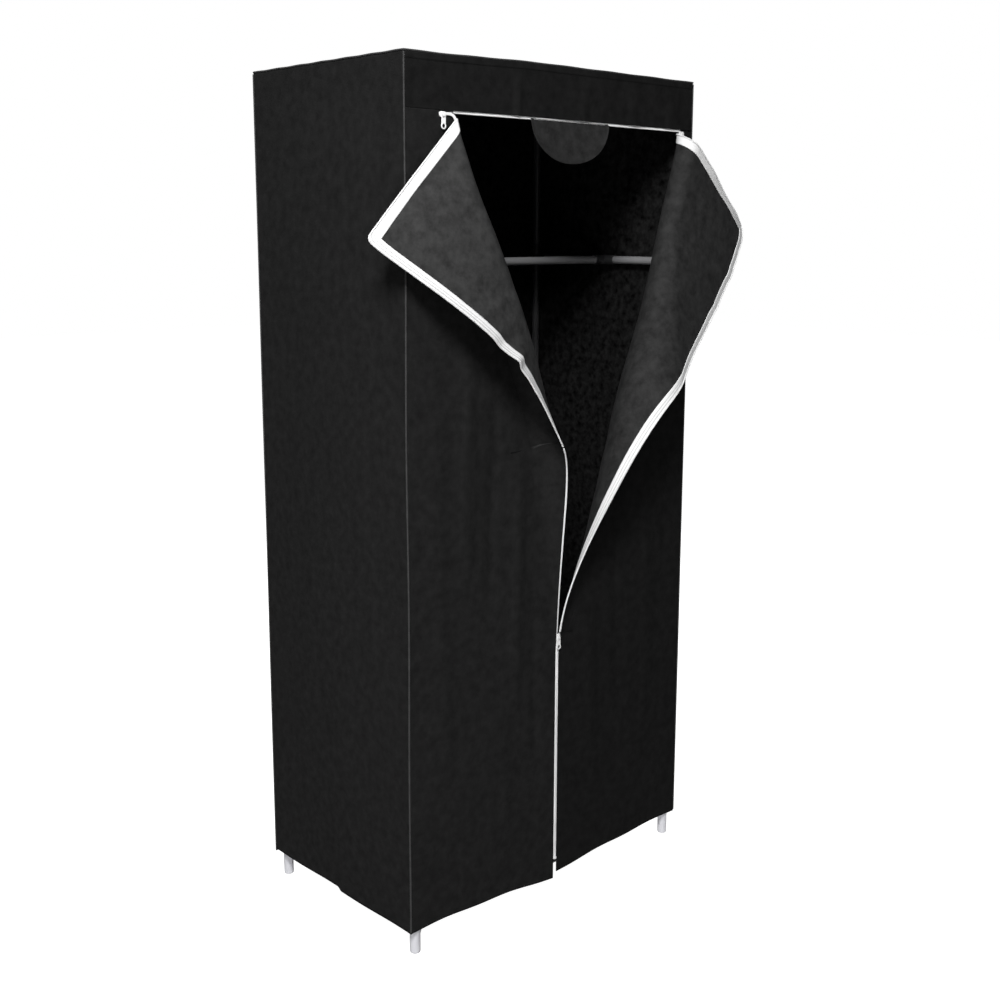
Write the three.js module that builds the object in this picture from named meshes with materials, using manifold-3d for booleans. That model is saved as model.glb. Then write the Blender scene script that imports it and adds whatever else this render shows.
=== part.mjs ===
// Portable fabric wardrobe: a knock-down tube frame in plastic corner connectors, under a zipped
// non-woven cover whose two front halves are unzipped at the top and folded out.
// Millimetres, +Z up, +X to the right seen from the front, the front faces -Y.
// The origin is the middle of the front left foot's underside.
import * as THREE from 'three';
import { mergeVertices } from 'three/addons/utils/BufferGeometryUtils.js';
import Module from 'manifold-3d';

const wasm = await Module();
wasm.setup();

// Driving dimensions of the cover
const coverHeight = 1600;
const coverWidthTop = 738;
const coverDepthTop = 436;
const hemFlareWidth = 18;
const hemFlareDepth = 4;
const hemHeight = 50;
const topSag = 5;
const wallBillow = 3;
const clothThickness = 1.2;
const headerHeight = 91;

// Driving dimensions of the frame
const tubeDiameter = 16;
const tubeWall = 0.8;
const socketWall = 1.5;
const bottomBarHeight = 58;
const railDrop = 344;
const tubeJointHeight = 650;
const swageLength = 30;
const socketReach = 38;
const socketDepth = 24;
const teeReach = 32;
const gussetBottom = 20;
const gussetReach = 20;
const gussetThickness = 3;
const footChamfer = 1.5;

// Driving dimensions of the zips
const headerZipLeftInset = 80;
const headerZipRightInset = 34;
const sliderDrop = 1063;
const zipBottomRise = 16;
const cornerRadius = 11;
const tipRelief = 12;
const tipReliefLength = 60;
const tapeWidth = 20;
const tapeShow = 4.5;
const tapeThickness = 1.2;
const sliderLength = 14;
const sliderWidth = 9;
const sliderThickness = 2.2;
const crownWidth = 2.4;
const crownWall = 1.2;
const crownLength = 7.4;
const crownGap = 2.6;
const pullLength = 25;
const pullWidth = 7;
const pullThickness = 1.4;
const pullBar = 1.6;
const pullSlot = 4.6;
const pullSlotWidth = 3.6;
const pullHole = 1.6;
const stopHeight = 5;

// Driving dimensions of the half-round tab under the header
const tabLeft = 82;
const tabRight = 120;
const tabDrop = 75;

// Clearances
const seamGap = 0.4;
const socketFit = 0.4;
const seatGap = 0.3;
const coverSlack = 0.4;
const tabGap = 0.8;
const tapeGap = 0.6;
const centreGap = 3;
const cutOverrun = 2;

// How finely round things are faceted
const tubeSides = 12;
const roundSteps = 6;

// The folded flaps. A flap is a flat sheet bent outwards about a line that runs from the end of
// the header zip down to the free edge. Along that line its bend radius, the angle it turns
// through, the curl of the sheet past the bend and the place where the bend starts all vary.
// Each list below follows foldStationShares, from the header to the slider.
const foldStationShares = [0, 0.04, 0.15, 0.35, 0.55, 0.75, 1];
const leftFold = {
  side: -1,
  seamInset: 105,
  edgeDrop: 685,
  bendRadius: 61,
  bendRadiusShares: [0.05, 0.2, 0.43, 0.51, 0.47, 0.88, 1],
  turnShares: [1.06, 1.05, 1.043, 0.907, 0.77, 0.654, 0.53],
  curlShares: [-0.37, -0.17, 0.09, 0.32, 0.34, 0.36, 0.36],
  bendStart: 175,
  bendStartShares: [0, 0, -0.28, -0.3, -0.33, -0.62, -1],
  tipCut: 42,
  endWidth: 6,
  hemNearZip: 24,
};
const rightFold = {
  side: 1,
  seamInset: headerZipRightInset,
  edgeDrop: 1095,
  bendRadius: 77,
  bendRadiusShares: [0.31, 0.31, 0.31, 0.54, 0.91, 1, 0.86],
  turnShares: [1.069, 1.033, 0.97, 1.028, 1.111, 1.075, 1.022],
  curlShares: [0.82, 0.69, 0.6, 0.48, 0.69, 1.02, 1.38],
  bendStart: 30,
  bendStartShares: [0, -0.22, -0.27, -0.69, -0.72, -1, -0.5],
  tipCut: 42,
  endWidth: 6,
  hemNearZip: 36,
};

// Sizes worked out from the driving ones
const halfCloth = clothThickness / 2;
const tubeRadius = tubeDiameter / 2;
const boreRadius = tubeRadius + socketFit;
const socketRadius = boreRadius + socketWall;
const uprightX = coverWidthTop / 2 - clothThickness - coverSlack - socketRadius;
const uprightY = coverDepthTop / 2 - clothThickness - coverSlack - socketRadius;
const topBarHeight = coverHeight - clothThickness - coverSlack - socketRadius;
const wallTop = coverHeight - clothThickness - seamGap;
const headerBottom = coverHeight - headerHeight;
const panelTop = headerBottom - seamGap;
const flapTop = headerBottom - tapeShow - seamGap;
const tapeStep = clothThickness / 2 + tapeThickness / 2 + tapeGap;
const halfPanel = coverWidthTop / 2;
const railHeight = coverHeight - railDrop;
const sliderHeight = coverHeight - sliderDrop;
const zipBottom = hemHeight + zipBottomRise;
const headerZipLeftEnd = halfPanel - headerZipLeftInset;
const headerZipRightEnd = halfPanel - headerZipRightInset;
const edgeHeightOf = (fold) => coverHeight - fold.edgeDrop;
const zipTop = sliderHeight + sliderLength / 2;

// Colours and finishes
const blackCloth = new THREE.MeshStandardMaterial({ color: 0x1c1c1e, roughness: 0.85, metalness: 0 });
const blackTube = new THREE.MeshStandardMaterial({ color: 0x141416, roughness: 0.3, metalness: 0.4 });
const palePlastic = new THREE.MeshStandardMaterial({ color: 0xd1d1d4, roughness: 0.45, metalness: 0 });
const blackPlastic = new THREE.MeshStandardMaterial({ color: 0x1a1a1c, roughness: 0.5, metalness: 0 });
const whiteTape = new THREE.MeshStandardMaterial({ color: 0xf4f4f4, roughness: 0.7, metalness: 0 });
const whiteMetal = new THREE.MeshStandardMaterial({ color: 0xeeeeee, roughness: 0.35, metalness: 0.2 });

const wardrobe = new THREE.Group();
wardrobe.position.set(uprightX, uprightY, 0);

// Adds one named sub-part to the wardrobe
function add(name, geometry, material) {
  const mesh = new THREE.Mesh(geometry, material);
  mesh.name = name;
  wardrobe.add(mesh);
  return mesh;
}

// A geometry as a solid that can be cut and joined
function toSolid(geometry) {
  const bare = geometry.clone();
  bare.deleteAttribute('normal');
  bare.deleteAttribute('uv');
  const merged = mergeVertices(bare, 1e-4);
  const vertProperties = new Float32Array(merged.attributes.position.array);
  const triVerts = new Uint32Array(merged.index.array);
  return new wasm.Manifold(new wasm.Mesh({ numProp: 3, vertProperties, triVerts }));
}

// A solid back as a geometry
function toGeometry(solid) {
  const mesh = solid.getMesh();
  const geometry = new THREE.BufferGeometry();
  geometry.setAttribute('position', new THREE.BufferAttribute(new Float32Array(mesh.vertProperties), 3));
  geometry.setIndex(new THREE.BufferAttribute(new Uint32Array(mesh.triVerts), 1));
  geometry.computeVertexNormals();
  return geometry;
}

// A round bar from one point to another along X, Y or Z
function bar(radius, from, to) {
  const start = new THREE.Vector3(...from);
  const end = new THREE.Vector3(...to);
  const along = end.clone().sub(start);
  const geometry = new THREE.CylinderGeometry(radius, radius, along.length(), tubeSides);
  const turn = new THREE.Quaternion().setFromUnitVectors(new THREE.Vector3(0, 1, 0), along.normalize());
  geometry.applyQuaternion(turn);
  geometry.translate(...start.add(end).multiplyScalar(0.5).toArray());
  return geometry;
}

// A hollow tube turned from a closed wall profile of [radius, distance] points, from a point along a direction
function turnedTube(profile, from, direction) {
  const points = profile.map(([r, d]) => new THREE.Vector2(r, d));
  points.push(points[0].clone());
  const geometry = new THREE.LatheGeometry(points, tubeSides);
  const turn = new THREE.Quaternion().setFromUnitVectors(new THREE.Vector3(0, 1, 0), new THREE.Vector3(...direction));
  geometry.applyQuaternion(turn);
  geometry.translate(...from);
  return geometry;
}

// A plain open tube of one length
function plainTube(length, from, direction) {
  const inner = tubeRadius - tubeWall;
  return turnedTube([[inner, 0], [tubeRadius, 0], [tubeRadius, length], [inner, length]], from, direction);
}

// A tube whose lower end is swaged down to slide into the tube below it
function swagedTube(length, from) {
  const inner = tubeRadius - tubeWall;
  const spigot = inner - socketFit;
  const throat = spigot - tubeWall;
  return turnedTube([
    [throat, -swageLength], [spigot, -swageLength], [spigot, -seatGap], [spigot, seatGap],
    [tubeRadius, seatGap], [tubeRadius, length], [inner, length], [inner, tubeWall + seatGap],
    [throat, tubeWall + seatGap],
  ], from, [0, 0, 1]);
}

// The triangular web that stiffens a horizontal arm of a foot against its peg
function gusset(directionX, directionY) {
  const inside = socketRadius / 2;
  const rise = bottomBarHeight - gussetBottom;
  const outline = new THREE.Shape([
    new THREE.Vector2(inside, -rise),
    new THREE.Vector2(socketRadius, -rise),
    new THREE.Vector2(socketRadius + gussetReach, -socketRadius / 2),
    new THREE.Vector2(socketRadius + gussetReach, 0),
    new THREE.Vector2(inside, 0),
  ]);
  const web = new THREE.ExtrudeGeometry(outline, { depth: gussetThickness, bevelEnabled: false });
  web.translate(0, 0, -gussetThickness / 2);
  web.rotateX(Math.PI / 2);
  web.rotateZ(Math.atan2(directionY, directionX));
  web.translate(0, 0, bottomBarHeight);
  return toSolid(web);
}

// A three-way foot: a peg on the floor, a socket for the upright and two for the bottom bars
function footConnector(towardsX, towardsY) {
  const top = bottomBarHeight + socketReach;
  const profile = [
    [0, 0], [socketRadius - footChamfer, 0], [socketRadius, footChamfer], [socketRadius, top], [0, top],
  ].map(([r, z]) => new THREE.Vector2(r, z));
  const stem = new THREE.LatheGeometry(profile, tubeSides);
  stem.rotateX(Math.PI / 2);
  let solid = toSolid(stem);
  for (const [dx, dy] of [[towardsX, 0], [0, towardsY]]) {
    const end = [dx * socketReach, dy * socketReach, bottomBarHeight];
    solid = solid.add(toSolid(bar(socketRadius, [0, 0, bottomBarHeight], end)));
    solid = solid.add(gusset(dx, dy));
    const mouth = socketReach + cutOverrun;
    const root = socketReach - socketDepth;
    solid = solid.subtract(toSolid(bar(boreRadius, [dx * root, dy * root, bottomBarHeight],
      [dx * mouth, dy * mouth, bottomBarHeight])));
  }
  return solid.subtract(toSolid(bar(boreRadius, [0, 0, top - socketDepth], [0, 0, top + cutOverrun])));
}

// A three-way top corner: a socket down for the upright and two for the top bars
function topConnector(towardsX, towardsY) {
  const low = -socketReach;
  let solid = toSolid(bar(socketRadius, [0, 0, low], [0, 0, socketRadius]));
  for (const [dx, dy] of [[towardsX, 0], [0, towardsY]]) {
    solid = solid.add(toSolid(bar(socketRadius, [0, 0, 0], [dx * socketReach, dy * socketReach, 0])));
    const root = socketReach - socketDepth;
    const mouth = socketReach + cutOverrun;
    solid = solid.subtract(toSolid(bar(boreRadius, [dx * root, dy * root, 0], [dx * mouth, dy * mouth, 0])));
  }
  return solid.subtract(toSolid(bar(boreRadius, [0, 0, low - cutOverrun], [0, 0, low + socketDepth])));
}

// A sleeve on a through tube, with one socket at right angles to it
function sleeveWithArm(sleeveAxis, armAxis) {
  const at = (axis, d) => axis.map((share) => share * d);
  let solid = toSolid(bar(socketRadius, at(sleeveAxis, -teeReach), at(sleeveAxis, teeReach)));
  solid = solid.add(toSolid(bar(socketRadius, [0, 0, 0], at(armAxis, teeReach))));
  const root = boreRadius + socketWall * 2;
  solid = solid.subtract(toSolid(bar(boreRadius, at(armAxis, root), at(armAxis, teeReach + cutOverrun))));
  return solid.subtract(toSolid(bar(boreRadius, at(sleeveAxis, -teeReach - cutOverrun),
    at(sleeveAxis, teeReach + cutOverrun))));
}

// The frame: four corners, each with a foot, three lengths of upright, a tee and a top connector
const corners = [
  ['front_left', -1, -1], ['front_right', 1, -1], ['back_left', -1, 1], ['back_right', 1, 1],
];
const uprightFoot = bottomBarHeight + socketReach - socketDepth + seatGap;
const uprightHead = topBarHeight - socketReach + socketDepth - seatGap;
for (const [name, sx, sy] of corners) {
  const x = sx * uprightX;
  const y = sy * uprightY;
  const foot = add(`foot_connector_${name}`, toGeometry(footConnector(-sx, -sy)), palePlastic);
  foot.position.set(x, y, 0);
  const cap = add(`top_connector_${name}`, toGeometry(topConnector(-sx, -sy)), palePlastic);
  cap.position.set(x, y, topBarHeight);
  const tee = add(`rail_tee_${name}`, toGeometry(sleeveWithArm([0, 0, 1], [0, -sy, 0])), blackPlastic);
  tee.position.set(x, y, railHeight);
  add(`upright_lower_${name}`, plainTube(tubeJointHeight - uprightFoot, [x, y, uprightFoot], [0, 0, 1]), blackTube);
  add(`upright_middle_${name}`, swagedTube(railHeight - seatGap / 2 - tubeJointHeight, [x, y, tubeJointHeight]), blackTube);
  add(`upright_upper_${name}`, plainTube(uprightHead - railHeight - seatGap / 2, [x, y, railHeight + seatGap / 2], [0, 0, 1]), blackTube);
}

// The bars that join the corners, at the foot and at the top
const barInset = socketReach - socketDepth + seatGap;
const longBar = 2 * (uprightX - barInset);
const shortBar = 2 * (uprightY - barInset);
for (const [level, z] of [['bottom', bottomBarHeight], ['top', topBarHeight]]) {
  for (const [name, sy] of [['front', -1], ['back', 1]]) {
    add(`${level}_bar_${name}`, plainTube(longBar, [-longBar / 2, sy * uprightY, z], [1, 0, 0]), blackTube);
  }
  for (const [name, sx] of [['left', -1], ['right', 1]]) {
    add(`${level}_bar_${name}`, plainTube(shortBar, [sx * uprightX, -shortBar / 2, z], [0, 1, 0]), blackTube);
  }
}

// The hanging rail, on two side bars between the tees
const teeInset = boreRadius + socketWall * 2 + seatGap;
const sideBar = 2 * (uprightY - teeInset);
const railLength = 2 * (uprightX - teeInset);
for (const [name, sx] of [['left', -1], ['right', 1]]) {
  add(`rail_side_bar_${name}`, plainTube(sideBar, [sx * uprightX, -sideBar / 2, railHeight], [0, 1, 0]), blackTube);
  const end = add(`rail_end_${name}`, toGeometry(sleeveWithArm([0, 1, 0], [-sx, 0, 0])), blackPlastic);
  end.position.set(sx * uprightX, 0, railHeight);
}
add('hanging_rail', plainTube(railLength, [-railLength / 2, 0, railHeight], [1, 0, 0]), blackTube);

// Half the cover's outer width and depth at a height: it widens a little towards the hem
function fallShare(z) {
  return (coverHeight - z) / (coverHeight - hemHeight);
}
function halfWidthAt(z) {
  return THREE.MathUtils.lerp(coverWidthTop, coverWidthTop + hemFlareWidth, fallShare(z)) / 2;
}
function halfDepthAt(z) {
  return THREE.MathUtils.lerp(coverDepthTop, coverDepthTop + hemFlareDepth, fallShare(z)) / 2;
}

// A closed sheet of one thickness around a middle surface given on a grid.
// place(u, v) gives a point for u and v from 0 to 1; step moves the sheet along its own normal.
function sheet(columns, rows, place, thickness, step = 0) {
  const grid = [];
  for (let j = 0; j <= rows; j += 1) {
    for (let i = 0; i <= columns; i += 1) grid.push(new THREE.Vector3(...place(i / columns, j / rows)));
  }
  const at = (i, j) => grid[j * (columns + 1) + i];
  const faces = [[], []];
  for (let j = 0; j <= rows; j += 1) {
    for (let i = 0; i <= columns; i += 1) {
      const across = at(Math.min(i + 1, columns), j).clone().sub(at(Math.max(i - 1, 0), j));
      const up = at(i, Math.min(j + 1, rows)).clone().sub(at(i, Math.max(j - 1, 0)));
      const normal = across.cross(up).normalize();
      faces[0].push(at(i, j).clone().addScaledVector(normal, step + thickness / 2));
      faces[1].push(at(i, j).clone().addScaledVector(normal, step - thickness / 2));
    }
  }
  const count = grid.length;
  const index = [];
  const quad = (a, b, c, d) => index.push(a, b, c, a, c, d);
  for (let j = 0; j < rows; j += 1) {
    for (let i = 0; i < columns; i += 1) {
      const a = j * (columns + 1) + i;
      const b = a + 1;
      const d = a + columns + 1;
      const c = d + 1;
      quad(a, b, c, d);
      quad(count + a, count + d, count + c, count + b);
    }
  }
  const edge = [];
  for (let i = 0; i < columns; i += 1) edge.push(i);
  for (let j = 0; j < rows; j += 1) edge.push(j * (columns + 1) + columns);
  for (let i = columns; i > 0; i -= 1) edge.push(rows * (columns + 1) + i);
  for (let j = rows; j > 0; j -= 1) edge.push(j * (columns + 1));
  edge.forEach((a, k) => {
    const b = edge[(k + 1) % edge.length];
    quad(b, a, count + a, count + b);
  });
  const geometry = new THREE.BufferGeometry();
  const positions = faces.flat().flatMap((p) => [p.x, p.y, p.z]);
  geometry.setAttribute('position', new THREE.Float32BufferAttribute(positions, 3));
  geometry.setIndex(index);
  geometry.computeVertexNormals();
  return geometry;
}

// A smooth curve through values given at rising stations, with no overshoot between them
function smoothAt(stations, values, at) {
  const last = stations.length - 1;
  const x = THREE.MathUtils.clamp(at, stations[0], stations[last]);
  const gap = (k) => stations[k + 1] - stations[k];
  const rise = (k) => (values[k + 1] - values[k]) / gap(k);
  const endSlope = (h0, h1, r0, r1) => {
    const slope = ((2 * h0 + h1) * r0 - h0 * r1) / (h0 + h1);
    if (Math.sign(slope) !== Math.sign(r0)) return 0;
    return Math.sign(r0) !== Math.sign(r1) && Math.abs(slope) > 3 * Math.abs(r0) ? 3 * r0 : slope;
  };
  const slopeAt = (k) => {
    if (k === 0) return endSlope(gap(0), gap(1), rise(0), rise(1));
    if (k === last) return endSlope(gap(last - 1), gap(last - 2), rise(last - 1), rise(last - 2));
    if (rise(k - 1) * rise(k) <= 0) return 0;
    const w1 = 2 * gap(k) + gap(k - 1);
    const w2 = gap(k) + 2 * gap(k - 1);
    return (w1 + w2) / (w1 / rise(k - 1) + w2 / rise(k));
  };
  let k = 0;
  while (k < last - 1 && x > stations[k + 1]) k += 1;
  const h = gap(k);
  const t = (x - stations[k]) / h;
  return values[k] * (1 + 2 * t) * (1 - t) ** 2 + h * slopeAt(k) * t * (1 - t) ** 2
    + values[k + 1] * t ** 2 * (3 - 2 * t) + h * slopeAt(k + 1) * t ** 2 * (t - 1);
}

// The fold line of one flap in the flat front, measured across from the middle (negative outwards)
// and up. along runs down the line, away runs from it into the flap.
function foldLine(fold) {
  const start = new THREE.Vector2(fold.seamInset - halfPanel, flapTop);
  const along = new THREE.Vector2(0, edgeHeightOf(fold)).sub(start).normalize();
  const away = new THREE.Vector2(-along.y, along.x);
  const length = new THREE.Vector2(0, sliderHeight).sub(start).dot(along);
  return { start, along, away, length };
}

// Where a point of the flat front lies once its flap is folded out: a and z are across and up
function foldedPoint(fold, a, z) {
  const { start, along, away, length } = foldLine(fold);
  const from = new THREE.Vector2(a, z).sub(start);
  const s = from.dot(along);
  const share = THREE.MathUtils.clamp(s / length, 0, 1);
  const bendStart = fold.bendStart * smoothAt(foldStationShares, fold.bendStartShares, share);
  const radius = fold.bendRadius * smoothAt(foldStationShares, fold.bendRadiusShares, share);
  const turn = Math.PI * smoothAt(foldStationShares, fold.turnShares, share);
  const curl = smoothAt(foldStationShares, fold.curlShares, share) / halfPanel;
  const d = from.dot(away) - bendStart;
  let reach = d;
  let out = 0;
  if (d > 0) {
    const arc = Math.min(d / radius, turn);
    const rest = Math.max(d - radius * turn, 0);
    const end = turn + curl * rest;
    reach = radius * Math.sin(arc) + (Math.sin(end) - Math.sin(turn)) / curl;
    out = radius * (1 - Math.cos(arc)) + (Math.cos(turn) - Math.cos(end)) / curl;
  }
  const across = start.x + along.x * s + away.x * (reach + bendStart);
  const up = start.y + along.y * s + away.y * (reach + bendStart);
  return [-fold.side * across, -(halfDepthAt(up) - halfCloth) - out, up];
}

// Cover walls. The side walls span the full depth, and the front and back fit between them.
function billow(u, v) {
  return wallBillow * Math.sin(Math.PI * u) ** 2 * Math.sin(Math.PI * v);
}
for (const [name, side] of [['left', -1], ['right', 1]]) {
  add(`cover_${name}`, sheet(6, 10, (u, v) => {
    const z = THREE.MathUtils.lerp(hemHeight, wallTop, v);
    const y = (2 * u - 1) * halfDepthAt(z);
    return [side * (halfWidthAt(z) - halfCloth + billow(u, v)), y, z];
  }, clothThickness), blackCloth);
}
add('cover_back', sheet(8, 10, (u, v) => {
  const z = THREE.MathUtils.lerp(hemHeight, wallTop, v);
  const x = (2 * u - 1) * (halfWidthAt(z) - clothThickness - seamGap);
  return [x, halfDepthAt(z) - halfCloth + billow(u, v), z];
}, clothThickness), blackCloth);
add('cover_top', sheet(8, 6, (u, v) => {
  const x = (2 * u - 1) * coverWidthTop / 2;
  const y = (2 * v - 1) * coverDepthTop / 2;
  const sag = topSag * Math.sin(Math.PI * u) ** 2 * Math.sin(Math.PI * v) ** 2;
  return [x, y, coverHeight - halfCloth - sag];
}, clothThickness), blackCloth);

// The header across the top of the front
add('cover_header', sheet(10, 2, (u, v) => {
  const z = THREE.MathUtils.lerp(headerBottom, wallTop, v);
  const x = (2 * u - 1) * (halfWidthAt(z) - clothThickness - seamGap);
  return [x, -(halfDepthAt(z) - halfCloth), z];
}, clothThickness), blackCloth);

// The flap's cut lines on its flat front: where each ruling square to the fold line starts and ends.
// inset is how far the edge lies inside the tape's outer edge, which is rounded at the free corner.
function flapRulings(fold) {
  const { start, along, away } = foldLine(fold);
  const rootAt = (s) => start.clone().addScaledVector(along, s);
  const widthAt = (s, inset) => {
    const root = rootAt(s);
    const top = flapTop - inset;
    const edge = -centreGap - inset;
    const width = Math.min((top - root.y) / away.y, (edge - root.x) / away.x);
    const round = Math.max(cornerRadius - inset, tapeThickness);
    const centre = new THREE.Vector2(edge - round, top - round);
    const toCentre = centre.clone().sub(root);
    const near = toCentre.dot(away);
    const off = toCentre.cross(away);
    if (Math.abs(off) >= round) return width;
    const onArc = near + Math.sqrt(round ** 2 - off ** 2);
    const point = root.clone().addScaledVector(away, onArc);
    return point.x >= centre.x && point.y >= centre.y ? onArc : width;
  };
  const cornerAt = new THREE.Vector2(-centreGap, flapTop).sub(start).dot(along);
  const edgeEnd = new THREE.Vector2(-centreGap - tapeShow, edgeHeightOf(fold)).sub(start);
  const endAt = edgeEnd.dot(along) + (edgeEnd.dot(away) - fold.endWidth) * away.x / along.x;
  const stations = [];
  const spread = (from, to, count) => {
    for (let i = 0; i < count; i += 1) stations.push(THREE.MathUtils.lerp(from, to, i / count));
  };
  const before = cornerAt - cornerRadius * along.x;
  const after = cornerAt + cornerRadius * (-along.y);
  spread(fold.tipCut, before, 2);
  spread(before, after, 4);
  spread(after, endAt, 12);
  stations.push(endAt);
  return { rootAt, away, widthAt, stations, endAt };
}

// One front half up to its fold line, and down its free edge and the closed zip to the hem
const columnShares = [0, 0.2, 0.4, 0.56, 0.68, 0.76, 0.82, 0.88, 0.92, 0.96, 1];
const freeEdgeRows = 6;
const zippedRows = 6;
function panelRows(fold) {
  const { rootAt, stations } = flapRulings(fold);
  const { start, along } = foldLine(fold);
  const heights = stations.map((s) => rootAt(s).y).reverse();
  const edge = Math.max(edgeHeightOf(fold), sliderHeight);
  const rows = [];
  for (let i = 0; i < zippedRows; i += 1) rows.push(THREE.MathUtils.lerp(hemHeight, sliderHeight, i / zippedRows));
  for (let i = 0; i < freeEdgeRows && edge > sliderHeight; i += 1) {
    rows.push(THREE.MathUtils.lerp(sliderHeight, edge, i / freeEdgeRows));
  }
  rows.push(edge, ...heights);
  rows.push(THREE.MathUtils.lerp(heights.at(-1), flapTop, 0.5), flapTop, panelTop);
  const foldEdge = (z) => start.x + along.x * (z - start.y) / along.y - seamGap;
  const edgeAt = (z) => {
    if (z <= edge) return -tapeShow;
    return Math.min(foldEdge(Math.min(z, flapTop)), -tapeShow);
  };
  const columnsAt = (z) => {
    const outer = -(halfWidthAt(z) - clothThickness - seamGap);
    const tape = edgeAt(z) - tapeWidth;
    return [...columnShares.map((share) => THREE.MathUtils.lerp(outer, tape, share)), tape + tapeWidth / 2, edgeAt(z)];
  };
  return { rows, columnsAt };
}
function frontPanel(fold) {
  const { rows, columnsAt } = panelRows(fold);
  const last = rows.length - 1;
  const columns = columnShares.length + 1;
  return sheet(columns, last, (u, v) => {
    const z = rows[Math.round(v * last)];
    const a = columnsAt(z)[Math.round(u * columns)];
    const drop = (hemHeight - fold.hemNearZip) * (1 + a / halfPanel) ** 2;
    const fall = drop * Math.max(sliderHeight - z, 0) / (sliderHeight - hemHeight);
    return foldedPoint(fold, a, z - fall);
  }, clothThickness);
}

// Distances along one ruling of a flap: evenly to the tape, then across the tape to the cloth's edge
const flapColumns = 12;
const narrowTapeShare = 0.6;
function flapDistances(fold, widthAt, s) {
  const root = seamGap + tipRelief * Math.max(1 - (s - fold.tipCut) / tipReliefLength, 0);
  const edge = widthAt(s, tapeShow);
  const tape = Math.max(widthAt(s, tapeWidth), THREE.MathUtils.lerp(edge, root, narrowTapeShare));
  const distances = [];
  for (let i = 0; i < flapColumns; i += 1) distances.push(THREE.MathUtils.lerp(root, tape, i / flapColumns));
  return [...distances, tape, (tape + edge) / 2, edge, widthAt(s, 0)];
}

// One folded flap, or the zip tape along its top and centre edges on the face that was inside
function flapPiece(fold, firstColumn, lastColumn, step, thickness) {
  const { rootAt, away, widthAt, stations } = flapRulings(fold);
  const rows = stations.length - 1;
  return sheet(lastColumn - firstColumn, rows, (u, v) => {
    const s = stations[Math.round(v * rows)];
    const column = firstColumn + Math.round(u * (lastColumn - firstColumn));
    const flat = rootAt(s).addScaledVector(away, flapDistances(fold, widthAt, s)[column]);
    return foldedPoint(fold, flat.x, flat.y);
  }, thickness, step);
}

// The tape on the free edge of a front half, between its flap and the middle slider
function edgeTape(fold) {
  const { rows, columnsAt } = panelRows(fold);
  const levels = [zipTop + seamGap, ...rows.filter((z) => z > zipTop + seamGap && z <= edgeHeightOf(fold))];
  const last = levels.length - 1;
  return sheet(3, last, (u, v) => {
    const z = levels[Math.round(v * last)];
    return foldedPoint(fold, [...columnsAt(z).slice(-3), -centreGap][Math.round(u * 3)], z);
  }, tapeThickness, fold.side * tapeStep);
}

for (const [name, fold] of [['left', leftFold], ['right', rightFold]]) {
  add(`front_panel_${name}`, frontPanel(fold), blackCloth);
  add(`flap_${name}`, flapPiece(fold, 0, flapColumns + 2, 0, clothThickness), blackCloth);
  add(`flap_tape_${name}`, flapPiece(fold, flapColumns, flapColumns + 3, -fold.side * tapeStep, tapeThickness), whiteTape);
}
add('edge_tape_left', edgeTape(leftFold), whiteTape);

// The zip tape behind the header's lower edge
add('header_tape', sheet(12, 1, (u, v) => {
  const x = THREE.MathUtils.lerp(-headerZipLeftEnd, headerZipRightEnd, u);
  const z = headerBottom - tapeShow + v * tapeWidth;
  return [x, -(halfDepthAt(z) - halfCloth), z];
}, tapeThickness, -tapeStep), whiteTape);

// The closed zip below the middle slider: both tapes, the teeth between them and a stop at the bottom
const toothRib = (tapeShow - seamGap) * 2;
{
  const behind = tapeStep + halfCloth;
  const outline = new THREE.Shape([
    [-tapeWidth, behind + tapeThickness / 2], [tapeWidth, behind + tapeThickness / 2],
    [tapeWidth, behind - tapeThickness / 2], [toothRib / 2, behind - tapeThickness / 2],
    [toothRib / 2, 0], [-toothRib / 2, 0],
    [-toothRib / 2, behind - tapeThickness / 2], [-tapeWidth, behind - tapeThickness / 2],
  ].map(([x, y]) => new THREE.Vector2(x, y)));
  const strip = new THREE.ExtrudeGeometry(outline, { depth: zipTop - zipBottom, bevelEnabled: false });
  const stop = new THREE.BoxGeometry(toothRib, sliderThickness, stopHeight);
  stop.translate(0, tapeThickness - sliderThickness / 2, stopHeight / 2);
  const solid = toGeometry(toSolid(strip).add(toSolid(stop)));
  const points = solid.attributes.position;
  for (let i = 0; i < points.count; i += 1) {
    const z = points.getZ(i) + zipBottom;
    points.setZ(i, z);
    points.setY(i, points.getY(i) - halfDepthAt(z));
  }
  solid.computeVertexNormals();
  add('closed_zip', solid, whiteTape);
}

// The half-round tab that hangs from the middle of the header
{
  const middle = (tabRight - tabLeft) / 2;
  const outline = new THREE.Shape();
  outline.absellipse(0, 0, (tabRight + tabLeft) / 2, tabDrop, Math.PI, 2 * Math.PI, false);
  const tab = new THREE.ExtrudeGeometry(outline, { depth: clothThickness, bevelEnabled: false, curveSegments: roundSteps * 4 });
  tab.rotateX(Math.PI / 2);
  tab.translate(middle, -(halfDepthAt(headerBottom) - clothThickness), headerBottom - tabGap);
  add('header_tab', tab, blackCloth);
}

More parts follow.
